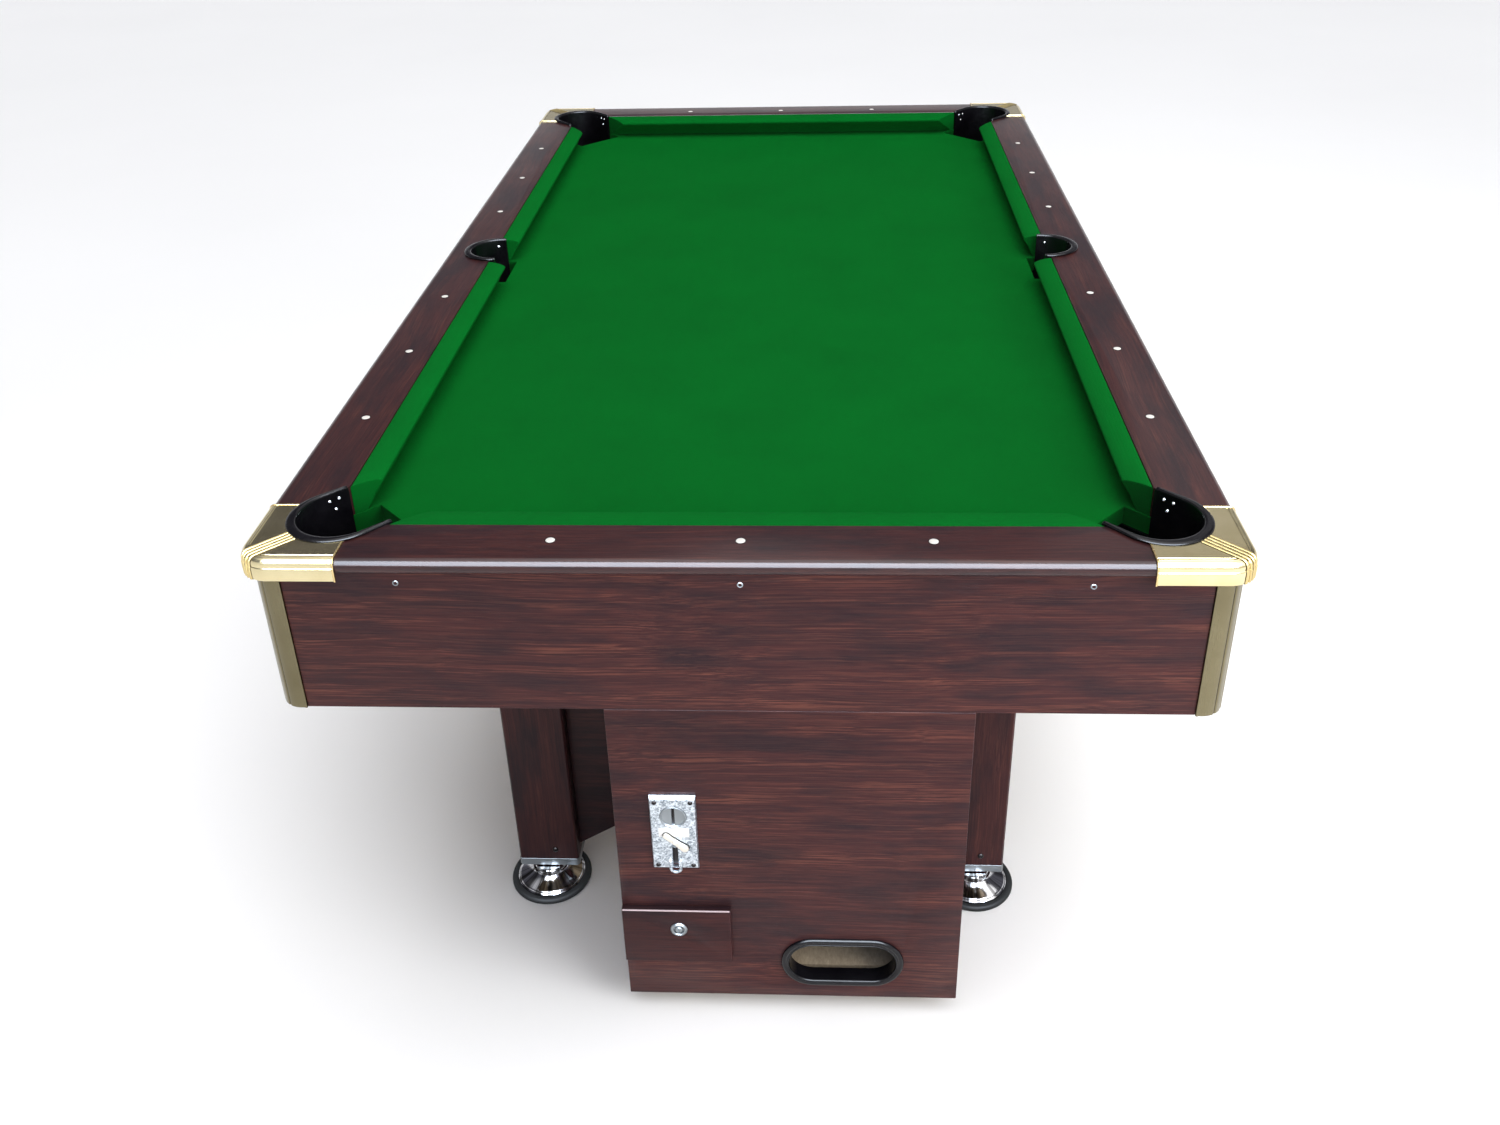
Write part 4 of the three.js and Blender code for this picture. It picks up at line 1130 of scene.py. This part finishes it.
def build_legs():
    for name, (_, sy) in CORNERS.items():
        refined(f"leg_{name}", LEG_WOOD)
        make(f"leg_shoe_{name}", leg_shoe(name), STEEL, slot="steel", edge=0.0004)
        corner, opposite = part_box(f"leg_{name}")
        x = corner.x + (opposite.x - corner.x) * LEG_SCREW_SHARE
        face = opposite.y if sy > 0 else corner.y
        place = (x, face, corner.z + SHOE_HEIGHT + LEG_SCREW_RISE)
        make(f"leg_screw_{name}", screw(place, (0, sy, 0), LEG_SCREW_RADIUS), DARK_STEEL, slot="steel")
    for name in ENDS:
        # The leg panels get the darkened laminate as painted shade.
        refined(f"leg_panel_{name}", WOOD_PAINTED_SHADE)


# Radius and height of a foot's chromed part: base, cone, stepped hub and stem.
FOOT_METAL = [
    (0, 0.0090), (0.0556, 0.0090), (0.0566, 0.0098), (0.0562, 0.0112), (0.0550, 0.0124),
    (0.0540, 0.0130), (0.0536, 0.0138), (0.0528, 0.0148), (0.0514, 0.0156), (0.0490, 0.0166),
    (0.0440, 0.0186), (0.0380, 0.0213), (0.0330, 0.0243), (0.0302, 0.0266), (0.0294, 0.0276),
    (0.0290, 0.0292), (0.0276, 0.0298), (0.0262, 0.0300), (0.0258, 0.0308), (0.0268, 0.0318),
    (0.0268, 0.0350), (0.0258, 0.0364), (0.0240, 0.0370), (0.0110, 0.0370), (0.0106, 0.0374),
    (0.0060, 0.0376), (0.0060, 0.0990), (0, 0.0990),
]
# The same of the rubber ring that it stands on.
FOOT_RUBBER = [
    (0, 0), (0.0630, 0), (0.0658, 0.0010), (0.0670, 0.0032), (0.0670, 0.0062), (0.0662, 0.0086),
    (0.0640, 0.0102), (0.0612, 0.0106), (0.0582, 0.0104), (0.0572, 0.0088), (0, 0.0088),
]


def build_feet():
    for name in CORNERS:
        node = f"levelling_foot_{name}"
        body = f"foot_{name}"
        corner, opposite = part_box(node)
        centre = ((corner.x + opposite.x) / 2, (corner.y + opposite.y) / 2, 0)
        chrome = turned_finish(f"turned_chrome_{name}", centre)
        metal, rubber = (lathe(profile, centre, sides=FOOT_SIDES) for profile in (FOOT_METAL, FOOT_RUBBER))
        stand_in(node, "metal", metal, chrome, body=body, slot="chrome", angle=24)
        make(f"{node}_rubber", rubber, RUBBER, body, angle=50)


# ---------------------------------------------------------------- ball cabinet

PORT_SLEEVE = 0.020  # how far the bezel's sleeve goes in


def build_cabinet():
    refined("cabinet_front", WOOD["X"], PANEL_EDGE)
    for name in SIDES:
        refined(f"cabinet_{name}", WOOD["Y"], PANEL_EDGE)
    refined("cabinet_back", WOOD["X"], PANEL_EDGE)


def racetrack(centre, length, height, y):
    """A long round-ended ring in X and Z, at one place along Y."""
    radius = height / 2
    half = length / 2 - radius
    points = arc(centre.x + half, centre.z, radius, -90, 90, steps=20)
    points += arc(centre.x - half, centre.z, radius, 90, 270, steps=20)
    return [(x, y, z) for x, z in points]


def build_ball_port():
    """The ball port's bezel: a round rim with a bright inner lip, and a sleeve through the board."""
    corner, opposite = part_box("ball_port_bezel")
    length, height = opposite.x - corner.x, opposite.z - corner.z
    profile = [
        (0.0003, -GAP), (0.0, 0.0016), (0.0007, 0.0032), (0.0024, 0.0045), (0.0046, 0.0050),
        (0.0066, 0.0045), (0.0082, 0.0034), (0.0090, 0.0036), (0.0100, 0.0044), (0.0110, 0.0042),
        (0.0118, 0.0030), (0.0120, 0.0010), (0.0122, -0.012), (0.0120, -PORT_SLEEVE),
        (0.0080, -PORT_SLEEVE), (0.0080, -GAP),
    ]
    rings = [
        racetrack((corner + opposite) / 2, length - 2 * inset, height - 2 * inset, FRONT_Y - proud)
        for inset, proud in profile
    ]
    stand_in("ball_port_bezel", "moulding", loft(rings, looped=True), BLACK, slot="black_plastic", angle=40)


# ---------------------------------------------------------------- coin gear

PLATE_PROUD = 0.006
PLATE_BEVEL = 0.003
PLATE_TOP_BEVEL = 0.006
DISH_RADIUS = 0.019
DISH_DROP = 0.037  # from the plate's top to the middle of its dish
DISH_DEPTH = 0.002
COIN_SLOT = (0.0022, 0.0158)  # half its width and half its height
OUTLET_HALF = 0.004
OUTLET_RISE = (0.003, 0.041)  # its lower and upper end, from the plate's bottom
CUP_HALF = 0.009
CUP_BELOW = 0.006  # the cup hangs this far below the plate
CUP_WALL = 0.0036
CUP_ARM = 0.014
CUP_PROUD = 0.009
PLATE_SCREW_INSET = 0.0075
PLATE_SCREW_DROP = 0.011  # of the upper screws, from the plate's top
PLATE_SCREW_RADIUS = 0.0036
LABEL_INSET = 0.011
LABEL_DROP = (0.074, 0.057)  # its lower and upper edge, from the plate's top
FORWARDS = (0, -1, 0)

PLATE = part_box("coin_plate")
PLATE_LEFT, PLATE_RIGHT = PLATE[0].x, PLATE[1].x
PLATE_BOTTOM, PLATE_TOP = PLATE[0].z + CUP_BELOW, PLATE[1].z
PLATE_MIDDLE = (PLATE_LEFT + PLATE_RIGHT) / 2
PLATE_FACE = FRONT_Y - PLATE_PROUD
PLATE_BACK = FRONT_Y - GAP
DISH_PLACE = (PLATE_MIDDLE, PLATE_FACE, PLATE_TOP - DISH_DROP)


def plate_hole(half, bottom, top):
    """A tool that cuts an upright slot through the middle of the plate."""
    outline = oblong(PLATE_MIDDLE - half, bottom, PLATE_MIDDLE + half, top)
    return prism(outline, "Y", PLATE_FACE - PAST, PLATE_BACK + PAST)


def coin_slot():
    half, tall = COIN_SLOT
    return plate_hole(half, DISH_PLACE[2] - tall, DISH_PLACE[2] + tall)


def coin_plate_mesh():
    """The cast plate, with bevelled edges, a round dish for the coin slot, and the outlet under it."""
    whole = oblong(PLATE_LEFT, PLATE_BOTTOM, PLATE_RIGHT, PLATE_TOP)
    face = oblong(
        PLATE_LEFT + PLATE_BEVEL / 2, PLATE_BOTTOM + PLATE_BEVEL,
        PLATE_RIGHT - PLATE_BEVEL / 2, PLATE_TOP - PLATE_TOP_BEVEL,
    )
    layers = ((whole, PLATE_BACK), (whole, PLATE_FACE + PLATE_BEVEL), (face, PLATE_FACE))
    body = loft([[(x, y, z) for x, z in outline] for outline, y in layers])
    dish_tool = [(0, -DISH_DEPTH), (DISH_RADIUS, -DISH_DEPTH), (DISH_RADIUS, PAST), (0, PAST)]
    outlet = plate_hole(OUTLET_HALF, *(PLATE_BOTTOM + rise for rise in OUTLET_RISE))
    return carve(body, lathe(dish_tool, DISH_PLACE, FORWARDS), coin_slot(), outlet)


def coin_dish_mesh():
    """The round insert that carries the coin slot: a thin rim and a face that dips to the slot."""
    r = DISH_RADIUS - GAP
    profile = [
        (0, -0.0015), (0.010, -0.0013), (0.0162, -0.0007), (0.0166, 0.0004), (0.0176, 0.0010),
        (r, 0.0004), (r, -0.0018), (0, -0.0018),
    ]
    return carve(lathe(profile, DISH_PLACE, FORWARDS), coin_slot())


def return_cup_mesh():
    """The U-shaped lip that stops a returned coin."""
    centre = (PLATE_MIDDLE, PLATE_BOTTOM - CUP_BELOW + CUP_HALF)
    top = centre[1] + CUP_ARM
    inside = CUP_HALF - CUP_WALL
    outline = [
        (PLATE_MIDDLE - CUP_HALF, top),
        *arc(*centre, CUP_HALF, 180, 360, steps=20),
        (PLATE_MIDDLE + CUP_HALF, top), (PLATE_MIDDLE + inside, top),
        *arc(*centre, inside, 360, 180, steps=20),
        (PLATE_MIDDLE - inside, top),
    ]
    return prism(outline, "Y", FRONT_Y - CUP_PROUD, PLATE_FACE + 0.0005)


def build_coin_plate():
    stand_in("coin_plate", "casting", coin_plate_mesh(), ZINC, slot="zinc_plate", angle=20, edge=0.0004)
    make("coin_plate_dish", coin_dish_mesh(), STEEL, slot="steel", angle=40)
    make("coin_return_cup", return_cup_mesh(), ZINC, slot="zinc_plate", edge=0.0009)
    places = [
        (x, PLATE_FACE, z)
        for x in (PLATE_LEFT + PLATE_SCREW_INSET, PLATE_RIGHT - PLATE_SCREW_INSET)
        for z in (PLATE_BOTTOM + PLATE_SCREW_INSET, PLATE_TOP - PLATE_SCREW_DROP)
    ]
    screws = together([screw(place, FORWARDS, PLATE_SCREW_RADIUS) for place in places])
    make("coin_plate_screws", screws, DARK_STEEL, slot="steel")
    bottom, top = (PLATE_TOP - drop for drop in LABEL_DROP)
    outline = oblong(PLATE_LEFT + LABEL_INSET, bottom, PLATE_RIGHT - LABEL_INSET, top)
    make("coin_plate_label", prism(outline, "Y", PLATE_FACE - GAP, PLATE_FACE), LABEL, edge=0.0001)


LEVER_TILT = math.radians(-42)
LEVER_HALF = 0.017
LEVER_WAIST = 0.004


def build_reject_lever():
    """A slim cast lever that tilts on a pin, with a thumb pad at its lower end."""
    corner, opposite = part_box("coin_reject_lever")
    pivot = Vector(((corner.x + opposite.x) / 2, PLATE_FACE - GAP, (corner.z + opposite.z) / 2))
    along = Vector((math.cos(LEVER_TILT), 0, math.sin(LEVER_TILT)))
    up = Vector((-math.sin(LEVER_TILT), 0, math.cos(LEVER_TILT)))
    outline = [
        *arc(LEVER_HALF, 0, 0.006, -90, 90, steps=14), (0.004, 0.0044), (-0.006, 0.0042),
        *arc(-LEVER_HALF, 0, 0.0046, 90, 270, steps=12), (-0.006, -0.0042), (0.004, -0.0044),
    ]

    def layer(inset, proud):
        """The lever's outline, drawn in by inset and standing that far in front of the plate."""
        points = []
        for u, v in outline:
            base = math.copysign(min(abs(u), LEVER_HALF), u)
            share = 1 - inset / max(math.hypot(u - base, v), LEVER_WAIST)
            flat = pivot + along * (base + (u - base) * share) + up * (v * share)
            points.append(flat - Vector((0, proud, 0)))
        return points

    # A black outline a little wider than the lever, under it: a painted shadow round the lever.
    painted_lever_shadow = loft([layer(-0.0011, -0.0003), layer(-0.0011, 0.0003)])
    make("coin_lever_painted_shadow", painted_lever_shadow, BLACK, slot="black_plastic")
    arm = loft([layer(0.0, 0.0008), layer(0.0, 0.0026), layer(0.0006, 0.0036), layer(0.0018, 0.0040)])
    boss = [(0, 0.0055), (0.0022, 0.0054), (0.0034, 0.0046), (0.0036, 0.0030), (0, 0.0030)]
    pin = [(0, 0.001), (0.003, 0.001), (0.003, -0.005), (0, -0.005)]
    lever = together([arm, *(lathe(profile, pivot, FORWARDS, SMALL_SIDES) for profile in (boss, pin))])
    stand_in("coin_reject_lever", "arm", lever, NICKEL, body="reject_lever", slot="zinc_plate", angle=40)


# ---------------------------------------------------------------- cash drawer and lock


def build_cash_drawer():
    """The drawer's front, with a pale band along its upper edge that is a painted highlight."""
    refined("cash_drawer_front", WOOD_PLAIN, PANEL_EDGE, "cash_drawer")
    corner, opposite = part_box("cash_drawer_front")
    offsets = ((-0.0002, -0.0016), (-0.0002, -0.0004), (0.0005, 0.0002), (0.0016, 0.0002), (0.0016, -0.0016))
    band = [(corner.y + back, opposite.z + rise) for back, rise in offsets]
    strip = prism(band, "X", corner.x + 0.001, opposite.x - 0.001)
    # The pale strip along the drawer front's upper edge is a painted highlight.
    make("cash_drawer_painted_edge_highlight", strip, PAINTED_EDGE_HIGHLIGHT, "cash_drawer", "wood_laminate", 25)


def build_lock():
    """A cam lock: a round-edged face ring, a plug with a keyhole, a threaded body and a cam."""
    corner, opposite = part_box("lock_barrel")
    x = (corner.x + opposite.x) / 2
    radius = (opposite.x - corner.x) / 2
    z = corner.z + radius
    face, end = corner.y, opposite.y
    profile = [
        (0, 0.0018), (0.0046, 0.0016), (0.0056, 0.0008), (0.0060, -0.0016), (0.0072, -0.0016),
        (0.0076, 0.0010), (0.0088, 0.0020), (0.0104, 0.0020),
        (0.0118, 0.0010), (radius, -0.0002), (radius, -0.0012), (0.0118, -0.0028), (0.0090, -0.0028),
        *[(0.0090 - 0.0006 * (i % 2), -0.006 - 0.0012 * i) for i in range(20)],
        (0.0086, face - end + 0.003), (0, face - end + 0.003),
    ]
    barrel = lathe(profile, (x, face + 0.0022, z), FORWARDS, RING_SIDES)
    key = prism(oblong(x - 0.0007, z - 0.0038, x + 0.0007, z + 0.0038), "Y", face - PAST, face + 0.004)
    cam = prism(oblong(x - 0.0045, z - 0.0045, x + 0.0045, z + 0.020), "Y", end - 0.003, end)
    lock = together([carve(barrel, key), cam])
    stand_in("lock_barrel", "assembly", lock, STEEL, body="lock", slot="chrome", angle=30)


# ---------------------------------------------------------------- inner pieces that keep their CAD shape


def finish_inner_pieces():
    boards = (
        "playing_bed", "ball_runway_left", "ball_runway_right", "ball_cross_runway", "ball_holding_shelf",
        "ball_tray", "cabinet_floor", "cabinet_divider", "cash_shelf",
    )
    metals = ("ball_release_gate", "cash_box")
    # The coin mechanism gets the near-black steel so that it shows dark through the coin slot: painted shade.
    for names, material in ((boards, BOARD), (metals, STEEL), (("coin_mechanism",), DARK_STEEL)):
        for name in names:
            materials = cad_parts[name].data.materials
            materials.clear()
            materials.append(material)


# ---------------------------------------------------------------- camera, light and floor

CAMERA_PLACE = (0.0958, -2.4808, 1.7213)
CAMERA_PITCH = 0.491  # downwards, in radians
CAMERA_YAW = -0.0569
CAMERA_ROLL = -0.0272
CAMERA_LENS = 31.908
CAMERA_SHIFT = -0.0817
COOL = (0.78, 0.87, 1.0)  # the tint of the highlights along the rails
STUDIO_PALE = (0.88, 0.89, 0.92, 1.0)
STUDIO_DIM = (0.10, 0.10, 0.12, 1.0)
FLOOR_HALF = 30


def add_camera():
    data = bpy.data.cameras.new("camera")
    data.lens = CAMERA_LENS
    data.shift_y = CAMERA_SHIFT
    camera = added("camera", data)
    camera.matrix_world = (
        Matrix.Translation(CAMERA_PLACE) @ Matrix.Rotation(-CAMERA_YAW, 4, "Z")
        @ Matrix.Rotation(math.pi / 2 - CAMERA_PITCH, 4, "X") @ Matrix.Rotation(CAMERA_ROLL, 4, "Z")
    )
    bpy.context.scene.camera = camera


def add_area_light(name, place, target, size, power, diffuse=True, glossy=True, tint=(1, 1, 1)):
    """A soft box. It can be left out of the even light or out of the reflections."""
    data = bpy.data.lights.new(name, "AREA")
    data.shape = "RECTANGLE"
    data.size, data.size_y = size
    data.energy = power
    data.color = tint
    light = added(name, data)
    light.location = place
    light.rotation_euler = (Vector(target) - Vector(place)).to_track_quat("-Z", "Y").to_euler()
    light.visible_diffuse = diffuse
    light.visible_glossy = glossy


def add_lights():
    add_area_light("overhead", (0.3, 0.4, 3.6), (0, 0, 0.8), (3.6, 3.0), 36)
    add_area_light("key", (3.0, -2.4, 2.4), (0.1, -0.6, 0.6), (2.2, 1.8), 28)
    add_area_light("front", (3.0, -3.1, 1.9), (0.1, -1.1, 0.7), (2.4, 1.2), 98, glossy=False)
    add_area_light("shine", (0.3, -3.1, 2.7), (0.1, -1.1, 0.8), (4.2, 3.2), 960, diffuse=False, tint=COOL)
    add_area_light("gleam", (2.1, 2.7, 3.3), (0.6, -1.1, 0.8), (1.8, 1.6), 3.6, diffuse=False)
    sun = bpy.data.lights.new("sky", "SUN")
    sun.energy = 1.75
    sun.angle = math.radians(70)
    added("sky", sun).rotation_euler = (math.radians(8), math.radians(10), 0)


def add_world():
    """A pale studio with a dim band halfway up, so that metal and varnish have something to reflect."""
    world = bpy.data.worlds.new("studio")
    world.use_nodes = True
    nodes, links = world.node_tree.nodes, world.node_tree.links
    heading = nodes.new("ShaderNodeTexCoord")
    parts = nodes.new("ShaderNodeSeparateXYZ")
    ramp = nodes.new("ShaderNodeValToRGB")
    links.new(heading.outputs["Generated"], parts.inputs[0])
    links.new(parts.outputs["Z"], ramp.inputs[0])
    links.new(ramp.outputs[0], nodes["Background"].inputs["Color"])
    fill_ramp(ramp, ((0.20, STUDIO_PALE), (0.28, STUDIO_DIM), (0.72, STUDIO_DIM), (0.96, STUDIO_PALE)))
    bpy.context.scene.world = world
    bpy.context.scene.view_settings.view_transform = "Standard"


def add_floor():
    mesh = bpy.data.meshes.new("floor")
    corners = oblong(-FLOOR_HALF, -FLOOR_HALF, FLOOR_HALF, FLOOR_HALF)
    mesh.from_pydata([(x, y, 0) for x, y in corners], [], [(0, 1, 2, 3)])
    f = Finish("studio_floor", Roughness=0.9, Specular_IOR_Level=0.1)
    tone = f.noise(f.space(), scale=0.8, detail=4.0)
    f.drive("Base Color", f.ramp(tone, (0.2, colour(248, 248, 248)), (0.8, colour(252, 252, 252))))
    mesh.materials.append(f.material)
    added("floor", mesh)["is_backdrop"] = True


def write_sizes():
    boxes = {"cad": CAD_BOX, "visual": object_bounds()}
    sizes = {name: [list(corner) for corner in box] for name, box in boxes.items()}


add_camera()
add_lights()
add_world()
add_floor()
build_cloth()
build_rails()
build_sights()
build_cushions()
build_liners()
build_castings()
build_trims()
build_aprons()
build_legs()
build_feet()
build_cabinet()
build_ball_port()
build_coin_plate()
build_reject_lever()
build_cash_drawer()
build_lock()
finish_inner_pieces()
write_sizes()
